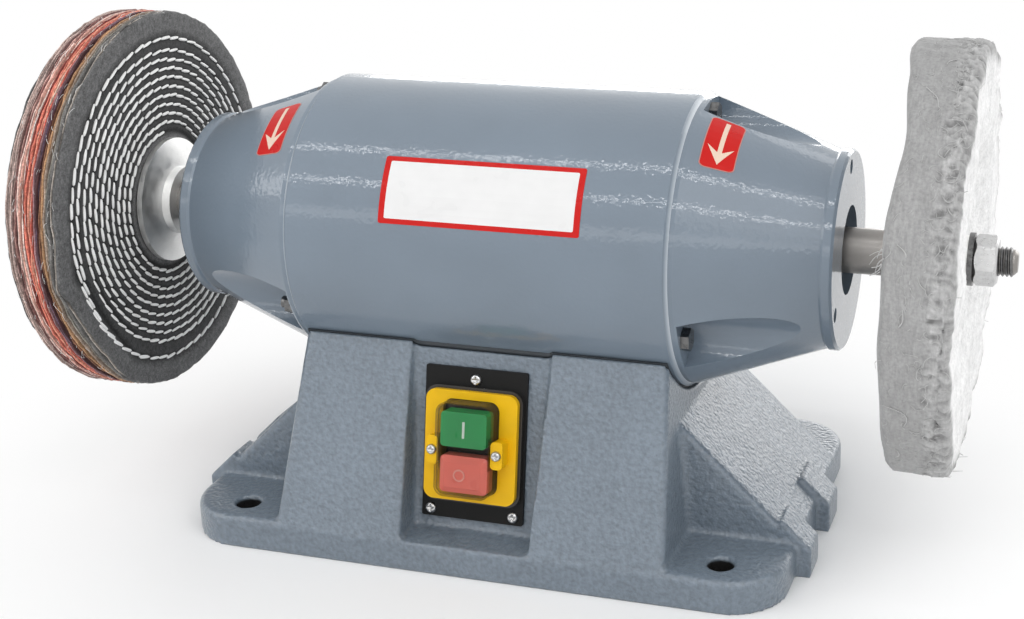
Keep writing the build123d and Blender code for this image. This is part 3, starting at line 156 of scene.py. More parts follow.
class CottonWheelSettings(bpy.types.PropertyGroup):
    """The loose cotton wheel."""

    fluff: length("Fluff", "Height of the soft lumps on the rim", 0.9)
    crinkle: length("Crinkle", "Height of the crinkles near the outer edge", 1.3)
    wisps: amount("Wisps", "Curled fibres near the outer edge", 420)
    fuzz: amount("Fuzz", "Short fibres over the whole rim", 300)
    threads: amount("Threads", "Longer loose threads", 40)
    rim: colour("Rim", "Greyed cotton of the rim", (0.345, 0.345, 0.345))
    edge: colour("Edge", "Darker cotton of the crinkled edge", (0.385, 0.385, 0.385))
    fibre: colour("Fibre", "Loose fibres", (0.52, 0.52, 0.52))
    cotton: colour("Cotton", "Clean cotton of the faces", (0.82, 0.82, 0.82))


class LabelSettings(bpy.types.PropertyGroup):
    """The bare plate on the housing and the turning arrows on the end bells."""

    plate_left: length("Plate left", "Left edge of the plate along the spindle", -45.4)
    plate_right: length("Plate right", "Right edge of the plate along the spindle", 54.4)
    plate_low: angle("Plate low", "Lower edge, above the housing's front", 15.2)
    plate_high: angle("Plate high", "Upper edge, above the housing's front", 41.2)
    plate_border: length("Plate border", "Width of the red border", 3.0)
    arrow_inner: length("Arrow inner", "Inner edge of an arrow label along the spindle", 104.0)
    arrow_outer: length("Arrow outer", "Outer edge of an arrow label along the spindle", 119.8)
    arrow_margin: length("Arrow margin", "Pale margin round an arrow label", 0.45)
    arrow_low_left: angle("Arrow low left", "Lower edge of the left label, above the bell's front", 41)
    arrow_low_right: angle("Arrow low right", "Lower edge of the right label, above the bell's front", 47.5)
    arrow_reach: angle("Arrow reach", "How far an arrow label goes round the bell", 28.5)
    red: colour("Red", "Red ink", (0.56, 0.012, 0.010))
    margin: colour("Margin", "Pale margin of the arrow labels", (0.52, 0.24, 0.21))
    cream: colour("Cream", "Arrows", (0.80, 0.62, 0.50))
    white: colour("White", "White film", (0.78, 0.78, 0.78))


class SwitchSettings(bpy.types.PropertyGroup):
    """Plastics of the switch."""

    frame: colour("Frame", "Yellow switch frame", (0.84, 0.49, 0.004))
    start: colour("Start", "Green start button", (0.022, 0.290, 0.080))
    stop: colour("Stop", "Red stop button", (0.80, 0.165, 0.120))
    mark: colour("Mark", "Pale marks on the buttons", (0.70, 0.78, 0.70))
    ring: colour("Ring", "Pale red ring of the stop button", (0.86, 0.36, 0.30))
    cover: colour("Cover", "Smoky clear cover", (0.045, 0.038, 0.032))
    cover_alpha: fraction("Cover density", "How much the clear cover hides", 0.05)


class StageSettings(bpy.types.PropertyGroup):
    """Floor, lights and camera."""

    camera_place: FloatVectorProperty(
        name="Camera place",
        description="Where the camera stands",
        default=(0.29087, -0.76590, 0.40354),
        subtype="TRANSLATION",
        unit="LENGTH",
    )
    camera_turn: angle("Camera turn", "How far round to the right the camera stands", 17.70)
    camera_rise: angle("Camera rise", "How far down the camera looks", 18.30)
    camera_roll: angle("Camera roll", "Lean of the picture", -1.18)
    focal_pixels: pixels("Focal pixels", "Focal length in picture pixels", 1700.1)
    axis_across: pixels("Axis across", "Lens axis from the left, in pixels", 608.9)
    axis_down: pixels("Axis down", "Lens axis from the top, in pixels", 253.4)
    floor: colour("Floor", "Pale floor", (0.94, 0.94, 0.94))
    key: power("Key", "Power of the key light", 7.5)
    left: power("Left", "Power of the light at the left", 6.0)
    right: power("Right", "Power of the light behind at the right", 6.0)
    tube: power("Tube", "Power of each long tube light", 3.7)
    back: power("Back", "Power of the light behind", 9.0)
    world: fraction("World", "Strength of the surrounding light", 0.63)


# Node trees


class Finish:
    """A material whose node tree is built with short calls."""

    def __init__(self, name, **sockets):
        self.material = bpy.data.materials.new(name)
        self.material.use_nodes = True
        self.nodes = self.material.node_tree.nodes
        self.shader = self.nodes["Principled BSDF"]
        self.set(**sockets)

    def feed(self, socket, value):
        """Links a node's output into a socket, or sets its constant."""
        if isinstance(value, bpy.types.NodeSocket):
            self.material.node_tree.links.new(value, socket)
        elif hasattr(socket.default_value, "__len__") and len(socket.default_value) == 4 and len(value) == 3:
            socket.default_value = (*value, 1)
        else:
            socket.default_value = value

    def set(self, **sockets):
        """Feeds the shader; underscores in a name stand for spaces."""
        for name, value in sockets.items():
            self.feed(self.shader.inputs[name.replace("_", " ")], value)
        return self

    def done(self, tint, rough, bump, **sockets):
        """Feeds colour, roughness and bump, and returns the material."""
        rough, bump = self.span(*rough), self.dent(*bump)
        return self.set(Base_Color=tint, Roughness=rough, Normal=bump, **sockets).material

    def node(self, kind, *inputs, output=0, **settings):
        """Adds a node, applies its settings, feeds its inputs in order and returns one output."""
        added = self.nodes.new("ShaderNode" + kind)
        for name, value in settings.items():
            setattr(added, name, value)
        for socket, value in zip((s for s in added.inputs if s.enabled), inputs):
            if value is not None:
                self.feed(socket, value)
        return added.outputs[output]

    def place(self, scale=(1, 1, 1), offset=(0, 0, 0)):
        """Object coordinates, moved and scaled."""
        return self.node("Mapping", self.node("TexCoord", output=3), offset, (0, 0, 0), scale)

    def grain(self, size, detail=3.0, roughness=0.55, where=None):
        """Noise whose features are about size across."""
        where = where or self.place()
        return self.node("TexNoise", where, 1 / size, detail, roughness, noise_dimensions="3D")

    def span(self, value, low, high):
        """Maps noise, which stays near the middle of its range, onto low to high."""
        return self.node("MapRange", value, 0.3, 0.7, low, high)

    def tones(self, factor, dark, light):
        """Runs from one colour to another."""
        return self.node("Mix", factor, dark, light, data_type="RGBA", output=2)

    def mottled(self, pattern, tone, dark, pale=1.0):
        """A colour that a pattern varies between two shares of it."""
        deep, light = ([min(1, c * part) for c in tone] for part in (dark, pale))
        return self.tones(self.span(pattern, 0.0, 1.0), deep, light)

    def math(self, operation, *values):
        """One sum on numbers."""
        return self.node("Math", *values, operation=operation)

    def dent(self, height, distance, strength=1.0, under=None):
        """Bump of a given depth, over another bump."""
        return self.node("Bump", strength, distance, 1.0, height, under)

    def from_spindle(self):
        """Distance from the spindle's axis."""
        apart = self.node("SeparateXYZ", self.place(offset=(0, 0, -SPINDLE_Z)))
        parts = apart.node.outputs
        squares = (self.math("POWER", part, 2.0) for part in parts[1:])
        return self.math("SQRT", self.math("ADD", *squares))


# Finishes


def cast_paint(paint):
    """Paint over a rough casting: lumpy, half gloss, uneven in tone, with painted shade in the bench holes."""
    finish = Finish("cast_paint", Coat_Weight=0.5, Coat_Roughness=0.28, Specular_IOR_Level=0.5)
    lumps = finish.grain(paint.cast_grain, 2.0, 0.5)
    pits = finish.grain(paint.cast_grain / 3, 2.0, 0.6)
    clouds = finish.grain(0.05, 2.0)
    mixed = finish.math("ADD", finish.math("MULTIPLY", lumps, 0.75), finish.math("MULTIPLY", clouds, 0.25))
    coarse = finish.dent(lumps, 0.85 * MM, 0.8)
    painted_hole_shade = finish.node("Attribute", attribute_name="painted_hole_shade", output=2)
    painted = finish.mottled(mixed, paint.casting, 0.78, 1.24)
    # Painted shade: the walls of the bench holes are turned near black.
    tint = finish.tones(painted_hole_shade, painted, (0.012, 0.012, 0.012))
    return finish.done(tint, (pits, 0.27, 0.42), (pits, 0.08 * MM, 0.5, coarse), Coat_Normal=coarse)


def motor_paint(paint):
    """Gloss paint with a slight orange peel, and a pale painted highlight on the housing's rims."""
    finish = Finish("motor_paint", Coat_Weight=1.0, Coat_Roughness=0.07, Specular_IOR_Level=0.3)
    peel = finish.grain(2.0 * MM, 2.0, 0.5)
    clouds = finish.grain(0.06, 2.0)
    ripple = finish.dent(peel, 0.26 * MM, 0.5)
    # Painted highlight on the housing's rims: a band near each end of the housing takes the pale rim colour.
    along = finish.math("ABSOLUTE", finish.node("SeparateXYZ", finish.place()))
    rim = finish.node("MapRange", along, paint.rim_starts, paint.rim_ends, 0.0, 1.0)
    highlight_band = finish.math("MULTIPLY", rim, finish.math("LESS_THAN", along, paint.rim_ends))
    return finish.set(
        Base_Color=finish.tones(highlight_band, finish.mottled(clouds, paint.motor, 0.94, 1.06), paint.painted_rim_highlight[:]),
        Roughness=finish.span(clouds, 0.34, 0.42),
        Normal=ripple,
        Coat_Normal=ripple,
    ).material


def turned_metal(name, tone, roughness, pitch, depth, across=True):
    """Turned metal: fine tool marks round the spindle, across faces or along shafts."""
    finish = Finish(name, Metallic=1.0)
    if across:
        marks = finish.math("SINE", finish.math("MULTIPLY", finish.from_spindle(), 2 * math.pi / pitch))
    else:
        marks = finish.grain(pitch, 2.0, 0.5, finish.place(scale=(1, 0.02, 0.02)))
    smears = finish.grain(6 * MM, 3.0)
    rough = smears, roughness * 0.8, roughness * 1.25
    return finish.done(finish.mottled(smears, tone, 0.86), rough, (marks, depth, 0.5))


def plated_steel(name, deep, pale):
    """Zinc plate with faint clouding."""
    finish = Finish(name, Metallic=1.0)
    clouds = finish.grain(2 * MM, 2.0)
    scuffs = finish.grain(0.5 * MM, 2.0)
    tint = finish.tones(finish.span(clouds, 0.0, 1.0), [deep] * 3, [pale] * 3)
    return finish.done(tint, (clouds, 0.26, 0.34), (scuffs, 0.01 * MM, 0.3))


def moulded(name, tone, roughness, grain=0.35 * MM, depth=0.02 * MM, **sockets):
    """Moulded plastic or rubber with a fine grain."""
    finish = Finish(name, **sockets)
    speck = finish.grain(grain, 2.0)
    clouds = finish.grain(12 * MM, 2.0)
    rough = clouds, roughness * 0.85, roughness * 1.15
    return finish.done(finish.mottled(clouds, tone, 0.9), rough, (speck, depth, 0.5))


def laminated(name, tone):
    """Stacked steel sheets, seen as fine lines along the spindle."""
    finish = Finish(name, Metallic=0.8)
    sheets = finish.grain(0.5 * MM, 1.0, 0.5, finish.place(scale=(1, 0.02, 0.02)))
    return finish.done(finish.mottled(sheets, tone, 0.6), (sheets, 0.4, 0.6), (sheets, 0.1 * MM, 0.5))


def wound_copper():
    """Enamelled winding wire."""
    finish = Finish("wound_copper", Metallic=0.9)
    wires = finish.grain(0.9 * MM, 1.0, 0.5, finish.place(scale=(0.15, 1, 1)))
    tint = finish.tones(finish.span(wires, 0.0, 1.0), (0.22, 0.07, 0.02), (0.55, 0.22, 0.08))
    return finish.done(tint, (wires, 0.25, 0.4), (wires, 0.4 * MM, 0.6))


def cloth(name, yarn_size, yarn_depth, streak_size, stretch, contrast, sheen):
    """Cloth with the colour stored on its mesh, broken up by yarn and streaks."""
    finish = Finish(name, Sheen_Weight=sheen, Sheen_Roughness=0.5, Specular_IOR_Level=0.12)
    dyed = finish.node("Attribute", attribute_name="cloth_colour")
    yarn = finish.grain(yarn_size, 2.0, 0.6)
    streak = finish.grain(streak_size, 3.0, 0.65, finish.place(scale=stretch))
    clouds = finish.grain(11 * MM, 3.0)
    streaks, yarns = (finish.span(part, 1 - contrast, 1 + contrast) for part in (streak, yarn))
    shade = finish.math("MULTIPLY", finish.span(clouds, 0.94, 1.06), yarns)
    shade = finish.math("MULTIPLY", streaks, shade)
    tint = finish.node("VectorMath", dyed, shade, operation="SCALE")
    return finish.done(tint, (yarn, 0.78, 0.98), (yarn, yarn_depth, 0.6))


def thread(name, tone):
    """Undyed sewing thread."""
    finish = Finish(name, Sheen_Weight=0.4, Sheen_Roughness=0.5, Specular_IOR_Level=0.25)
    lay = finish.grain(0.4 * MM, 1.0)
    dirt = finish.grain(7 * MM, 3.0)
    return finish.done(finish.mottled(dirt, tone, 0.86), (lay, 0.7, 0.95), (lay, 0.15 * MM, 0.6))


def film(name, tone):
    """Printed label film."""
    finish = Finish(name, Specular_IOR_Level=0.18)
    ripple = finish.grain(9 * MM, 1.0)
    return finish.done(finish.mottled(ripple, tone, 0.97), (ripple, 0.27, 0.33), (ripple, 0.05 * MM, 0.3))


def clear_plastic(name, tone, density):
    """Smoky clear plastic that looks denser where it is seen edge on."""
    finish = Finish(name, Specular_IOR_Level=0.5)
    clouds = finish.grain(12 * MM, 2.0)
    facing = finish.node("LayerWeight", 0.3, output=1)
    return finish.set(
        Base_Color=finish.mottled(clouds, tone, 0.8),
        Roughness=finish.span(clouds, 0.06, 0.12),
        Alpha=finish.node("MapRange", facing, 0.1, 0.9, density, 0.7),
    ).material


def paint_nodes(material, *names):
    """Gives CAD pieces a finish."""
    for name in names:
        for slot in NODES[name].material_slots:
            slot.material = material


def both(*names):
    """Names of the left and right pieces."""
    return [f"{side}_{name}" for side in ("left", "right") for name in names]


# Shapes


def as_mesh(shape, name="stamp"):
    """Turns a bmesh into a mesh and frees it."""
    mesh = bpy.data.meshes.new(name)
    shape.to_mesh(mesh)
    shape.free()
    return mesh


def linked(name, data):
    """Adds an object to the scene."""
    item = bpy.data.objects.new(name, data)
    bpy.context.scene.collection.objects.link(item)
    return item


def finished(name, shape, body, material, smooth=True):
    """Turns a bmesh into a piece that rides on a body."""
    bmesh.ops.recalc_face_normals(shape, faces=shape.faces)
    mesh = as_mesh(shape, name)
    if smooth:
        mesh.shade_smooth()
    mesh.materials.append(material)
    piece = linked(name, mesh)
    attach(piece, body)
    return piece


def whirled(shape, geometry, centre, axis, steps):
    """Spins geometry a full turn."""
    bmesh.ops.spin(
        shape, geom=geometry, cent=centre, axis=axis, angle=2 * math.pi, steps=steps, use_merge=True
    )


def spun(profile, steps):
    """Spins a closed loop of (x, radius) points round the spindle into a ring of its own."""
    ring = bmesh.new()
    loop = [ring.verts.new((x, 0, SPINDLE_Z + radius)) for x, radius in profile]
    edges = [ring.edges.new(pair) for pair in zip(loop, loop[1:] + loop[:1])]
    whirled(ring, loop + edges, SPINDLE_POINT, (1, 0, 0), steps)
    return ring


def stamp(shape, mesh, place=None):
    """Adds a copy of a mesh to a bmesh, with each of its points moved by place."""
    first = len(shape.verts)
    shape.from_mesh(mesh)
    if place is not None:
        shape.verts.ensure_lookup_table()
        for vert in shape.verts[first:]:
            vert.co = place(vert.co)


def absorb(shape, part):
    """Adds a whole bmesh to another and frees it."""
    mesh = as_mesh(part)
    stamp(shape, mesh)
    bpy.data.meshes.remove(mesh)


def polar(point):
    """(x, radius, angle) of a point; the angle is nought at the front and a quarter turn at the top."""
    return point.x, math.hypot(point.y, point.z - SPINDLE_Z), math.atan2(point.z - SPINDLE_Z, -point.y)


def from_polar(x, radius, turn):
    """The point at x, a radius and an angle."""
    return Vector((x, -radius * math.cos(turn), SPINDLE_Z + radius * math.sin(turn)))


def wander(turn, seed, loops):
    """Smooth closed noise along a circle, about -1 to 1."""
    reach = loops / 2
    across, up = reach * math.cos(turn), reach * math.sin(turn)
    return 1.6 * noise.noise((across + 7.3 * seed, up - 3.1 * seed, 0.37 * seed))


def lumpy(turn, loops, layer):
    """Noise along a circle, at a layer of its own."""
    return noise.noise((loops * math.cos(turn), loops * math.sin(turn), layer))


def smooth_step(value, low, high):
    """Nought below low, one above high, smooth between."""
    t = min(1, max(0, (value - low) / (high - low)))
    return t * t * (3 - 2 * t)


def hump(value, middle, width):
    """A bell curve, one at its middle."""
    return math.exp(-((value - middle) / width) ** 2)


# Pieces


class POLISHER_OT_casting(bpy.types.Operator):
    """Give the pedestal its rounded cast skin and rough paint"""

    bl_idname = "polisher.casting"
    bl_label = "Pedestal casting"

    def execute(self, context):
        paint = context.scene.polisher_paint
        shape = bmesh.new()
        shape.from_mesh(NODES["base_casting"].data)
        bmesh.ops.remove_doubles(shape, verts=shape.verts, dist=0.002 * MM)
        rough = as_mesh(shape, "cast_rough")
        block = linked("cast_rough", rough)
        skin = block.modifiers.new("Cast skin", "REMESH")
        skin.mode = "VOXEL"
        skin.voxel_size = paint.skin_voxel
        worn = block.modifiers.new("Worn edges", "SMOOTH")
        worn.factor = 0.5
        worn.iterations = 2
        lighter = block.modifiers.new("Fewer faces", "DECIMATE")
        lighter.ratio = paint.skin_kept
        shape = bmesh.new()
        shape.from_object(block, context.evaluated_depsgraph_get())
        bpy.data.objects.remove(block)
        bpy.data.meshes.remove(rough)
        # Marks the walls of the bench holes, where shade is painted.
        painted_hole_shade = shape.verts.layers.float.new("painted_hole_shade")
        for vert in shape.verts:
            vert[painted_hole_shade] = self.in_bench_hole(vert.co)
        piece = finished("cast_pedestal", shape, "root", cast_paint(paint))
        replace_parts(piece, "base_casting")
        return {"FINISHED"}

    def in_bench_hole(self, point):
        """One on the wall of a bench hole, where shade is painted, nought elsewhere."""
        apart = math.hypot(abs(point.x) - BENCH_HOLE_X, abs(point.y) - BENCH_HOLE_Y)
        return 1.0 if apart < BENCH_HOLE_RADIUS + SKIN_SLACK and point.z < BENCH_HOLE_RIM else 0.0


class POLISHER_OT_motor(bpy.types.Operator):
    """Paint the motor and finish the parts inside it"""

    bl_idname = "polisher.motor"
    bl_label = "Motor"

    def execute(self, context):
        paint = context.scene.polisher_paint
        paint_nodes(motor_paint(paint), "motor_housing", "left_end_bell", "right_end_bell")
        paint_nodes(moulded("gasket_rubber", (0.040, 0.047, 0.055), 0.7), "saddle_gasket", "lead_grommet")
        paint_nodes(moulded("cover_paint", paint.casting[:], 0.4, 2 * MM), "bottom_cover")
        paint_nodes(laminated("core_steel", (0.42, 0.42, 0.43)), "stator_core", "rotor")
        paint_nodes(wound_copper(), "stator_windings")
        paint_nodes(moulded("pale_plastic", (0.62, 0.62, 0.58), 0.4), "capacitor", "terminal_block")
        paint_nodes(moulded("gland_plastic", (0.02, 0.02, 0.02), 0.45), "cable_gland", "gland_lock_nut")
        return {"FINISHED"}


class POLISHER_OT_metalwork(bpy.types.Operator):
    """Finish the spindle, flanges, bearings and fasteners, and cut the spindle's threads"""

    bl_idname = "polisher.metalwork"
    bl_label = "Metalwork"

    def execute(self, context):
        steel = turned_metal("spindle_steel", (0.33, 0.315, 0.30), 0.36, 0.5 * MM, 0.02 * MM, across=False)
        flange = turned_metal("flange_metal", (0.90, 0.90, 0.89), 0.42, 0.9 * MM, 0.015 * MM)
        bearing = turned_metal("bearing_steel", (0.50, 0.50, 0.50), 0.25, 0.8 * MM, 0.01 * MM)
        plate = plated_steel("plated_steel", 0.56, 0.64)
        dull = plated_steel("dull_steel", 0.12, 0.20)
        paint_nodes(steel, "spindle")
        paint_nodes(flange, *both("inner_flange", "outer_flange"))
        paint_nodes(bearing, *both("bearing_outer_ring", "bearing_shields", "bearing_inner_ring"))
        paint_nodes(bearing, "preload_washer", "capacitor_clamp")
        paint_nodes(plate, *both("spindle_nut"), "cover_screws")
        paint_nodes(dull, *both("washer"), "tie_bolts", "tie_nuts", "housing_bolts")
        for side, sign, first, last in (("left", -1, 225.5, 244.0), ("right", 1, 218.5, 244.0)):
            ridge = self.thread(sign, first * MM, last * MM)
            finished(f"{side}_thread", ridge, "spindle", dull, smooth=False)
        return {"FINISHED"}

    def thread(self, sign, first, last):
        """A helical ridge wound from first to last along one end of the spindle."""
        pitch, root, crest, steps = 2.0 * MM, 5.9 * MM, 7.0 * MM, 30
        shape = bmesh.new()
        ring = []
        for along, radius in ((0.0, root), (0.42 * pitch, crest), (0.58 * pitch, crest), (pitch, root)):
            ring.append(shape.verts.new((sign * (first + along), 0, SPINDLE_Z + radius)))
        face = shape.faces.new(ring)
        turns = (last - first) / pitch - 1
        bmesh.ops.spin(
            shape,
            geom=[face, *face.edges, *face.verts],
            cent=SPINDLE_POINT,
            axis=(1, 0, 0),
            dvec=(sign * pitch / steps, 0, 0),
            angle=2 * math.pi * turns,
            steps=round(turns * steps),
        )
        return shape


class POLISHER_OT_switch(bpy.types.Operator):
    """Finish the switch, mark its buttons and give its screws cross recesses"""

    bl_idname = "polisher.switch"
    bl_label = "Switch"

    def execute(self, context):
        look = context.scene.polisher_switch
        black = moulded("switch_black", (0.007, 0.007, 0.007), 0.5, Specular_IOR_Level=0.2)
        paint_nodes(black, "switch_plate")
        paint_nodes(moulded("switch_smoke", (0.030, 0.028, 0.026), 0.25), "switch_body")
        paint_nodes(moulded("switch_yellow", look.frame[:], 0.36, Specular_IOR_Level=0.25), "switch_frame")
        paint_nodes(moulded("start_green", look.start[:], 0.30), "start_button")
        paint_nodes(moulded("stop_red", look.stop[:], 0.30), "stop_button")
        paint_nodes(clear_plastic("switch_clear", look.cover[:], look.cover_alpha), "switch_cover")
        ink = moulded("switch_mark", look.mark[:], 0.4)
        bar = bmesh.new()
        bmesh.ops.create_cube(bar, size=MM)
        bmesh.ops.scale(bar, verts=bar.verts, vec=(1.3, 8.0, 0.5))
        bmesh.ops.bevel(
            bar, geom=bar.edges, offset=0.2 * MM, segments=2, profile=0.5, affect="EDGES", material=-1
        )
        self.seat(bar, 0.0, 10.2, 17.1)
        finished("start_mark", bar, "start_button", ink)
        ring = bmesh.new()
        self.ring(ring, 2.6 * MM, 0.45 * MM)
        self.seat(ring, -1.5, -12.0, 17.1)
        finished("stop_mark", ring, "stop_button", moulded("stop_ring", look.ring[:], 0.4))
        plate = plated_steel("screw_steel", 0.46, 0.58)
        heads = self.screws(5.6, 2.0, ((0, 32), (21.3, -33.4), (-21.3, -33.4)), 2.0)
        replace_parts(finished("plate_screw_heads", heads, "root", plate), "plate_screws")
        heads = self.screws(5.0, 2.0, ((16.5, -0.9), (-16.5, -0.9)), 15.5)
        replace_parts(finished("frame_screw_heads", heads, "root", plate), "frame_screws")
        return {"FINISHED"}

    def seat(self, shape, across, up, out):
        """Moves a shape from the origin to a place on the leaning switch, given in millimetres."""
        side = Vector((1, 0, 0))
        rise = Vector((0, math.sin(SWITCH_LEAN), math.cos(SWITCH_LEAN)))
        face = Vector((0, -math.cos(SWITCH_LEAN), math.sin(SWITCH_LEAN)))
        turn = Matrix((side, rise, face)).transposed().to_4x4()
        spot = SWITCH_POINT + MM * (across * side + up * rise + out * face)
        bmesh.ops.transform(shape, matrix=Matrix.Translation(spot) @ turn, verts=shape.verts)

    def ring(self, shape, radius, half):
        """A rounded ring flat on the origin."""
        made = bmesh.ops.create_circle(shape, segments=8, radius=half)
        upright = Matrix.Rotation(math.pi / 2, 3, "X")
        bmesh.ops.rotate(shape, verts=made["verts"], cent=(0, 0, 0), matrix=upright)
        bmesh.ops.translate(shape, verts=made["verts"], vec=(radius, 0, 0))
        whirled(shape, shape.verts[:] + shape.edges[:], (0, 0, 0), (0, 0, 1), 40)

    def screws(self, width, height, places, out):
        """Pan-head screws with cross recesses at places on the switch."""
        arm, reach, deep = 0.075, 0.31, 0.6  # half width, length and depth of the cross, as shares of the head
        shape = bmesh.new()
        rim = [(0.0, 1.0), (0.05, 1.0), (0.1, 1.0), (0.16, 1.0), (0.22, 0.99)]
        rim += [(0.28, 0.97), (0.34, 0.92), (0.42, 0.78), (0.48, 0.5), (0.5, 0.0)]
        chain = [shape.verts.new((share * width * MM, 0, rise * height * MM)) for share, rise in rim]
        edges = [shape.edges.new(pair) for pair in zip(chain, chain[1:])]
        whirled(shape, chain + edges, (0, 0, 0), (0, 0, 1), 32)
        bmesh.ops.remove_doubles(shape, verts=shape.verts, dist=0.01 * MM)
        bmesh.ops.recalc_face_normals(shape, faces=shape.faces)
        for vert in shape.verts:
            x, y = abs(vert.co.x) / (width * MM), abs(vert.co.y) / (width * MM)
            if min(x, y) < arm and max(x, y) < reach:
                vert.co.z -= deep * height * MM * (1 - max(x, y) / 0.5)
        screw = as_mesh(shape)
        whole = bmesh.new()
        for across, up in places:
            one = bmesh.new()
            one.from_mesh(screw)
            self.seat(one, across, up, out)
            absorb(whole, one)
        bpy.data.meshes.remove(screw)
        return whole


# Wheels


SEWN_FACE = 2.3  # thickness in millimetres of the dark ply on either face
SEWN_PLIES = (  # thickness in millimetres and sRGB colour of each ply under the inner face
    (1.0, (178, 170, 162)),
    (2.0, (122, 120, 118)),
    (1.3, (150, 146, 138)),
    (1.5, (164, 146, 132)),
    (1.6, (182, 142, 108)),
    (1.1, (136, 98, 78)),
    (0.9, (84, 56, 58)),
    (1.7, (112, 92, 112)),
    (1.0, (160, 124, 128)),
    (0.8, (216, 112, 98)),
    (0.6, (246, 222, 204)),
    (1.3, (232, 158, 136)),
    (0.6, (172, 86, 78)),
    (1.5, (226, 132, 114)),
    (0.7, (150, 84, 78)),
    (1.2, (248, 228, 218)),
    (1.2, (228, 176, 162)),
    (0.7, (172, 116, 106)),
    (0.9, (242, 216, 206)),
    (0.7, (148, 106, 102)),
    (0.9, (222, 178, 168)),
    (0.5, (140, 110, 106)),
    (0.8, (212, 184, 176)),
    (0.7, (184, 162, 156)),
    (0.8, (216, 190, 182)),
    (0.7, (186, 166, 160)),
    (0.8, (206, 184, 176)),
)


def linear(tone):
    """A linear colour from an sRGB one."""
    return [((c / 255 + 0.055) / 1.055) ** 2.4 for c in tone]


def fibre(cuts):
    """A straight three-sided strand, one long and one thick, cut across."""
    strand = bmesh.new()
    bmesh.ops.create_cone(strand, cap_ends=True, segments=3, radius1=1, radius2=0.6, depth=1)
    long = [edge for edge in strand.edges if abs(edge.verts[0].co.z - edge.verts[1].co.z) > 0.5]
    bmesh.ops.subdivide_edges(strand, edges=long, cuts=cuts, use_grid_fill=True)
    return as_mesh(strand)


def lay_strand(shape, strand, long, thick, bend, place, along, side):
    """Lays a strand from place along a direction, bowed towards side."""
    along = along.normalized()
    side = (side - side.dot(along) * along).normalized()
    other = along.cross(side)

    def bow(point):
        t = point.z + 0.5
        rise = bend * (4 * t * (1 - t) + 0.35 * math.sin(5.2 * t))
        return place + along * (t * long) + side * (point.x * thick + rise) + other * (point.y * thick)

    stamp(shape, strand, bow)


def strewn(cuts, count, lay):
    """Many strands; lay gives the length, thickness, bend, place, direction and side of the next."""
    strand = fibre(cuts)
    shape = bmesh.new()
    for _ in range(count):
        lay_strand(shape, strand, *lay())
    bpy.data.meshes.remove(strand)
    return shape


def outward(turn):
    """Direction away from the spindle at an angle."""
    return from_polar(0, 1, turn) - SPINDLE_POINT


def onward(turn):
    """Direction round the spindle at an angle."""
    return outward(turn).cross(Vector((1, 0, 0)))


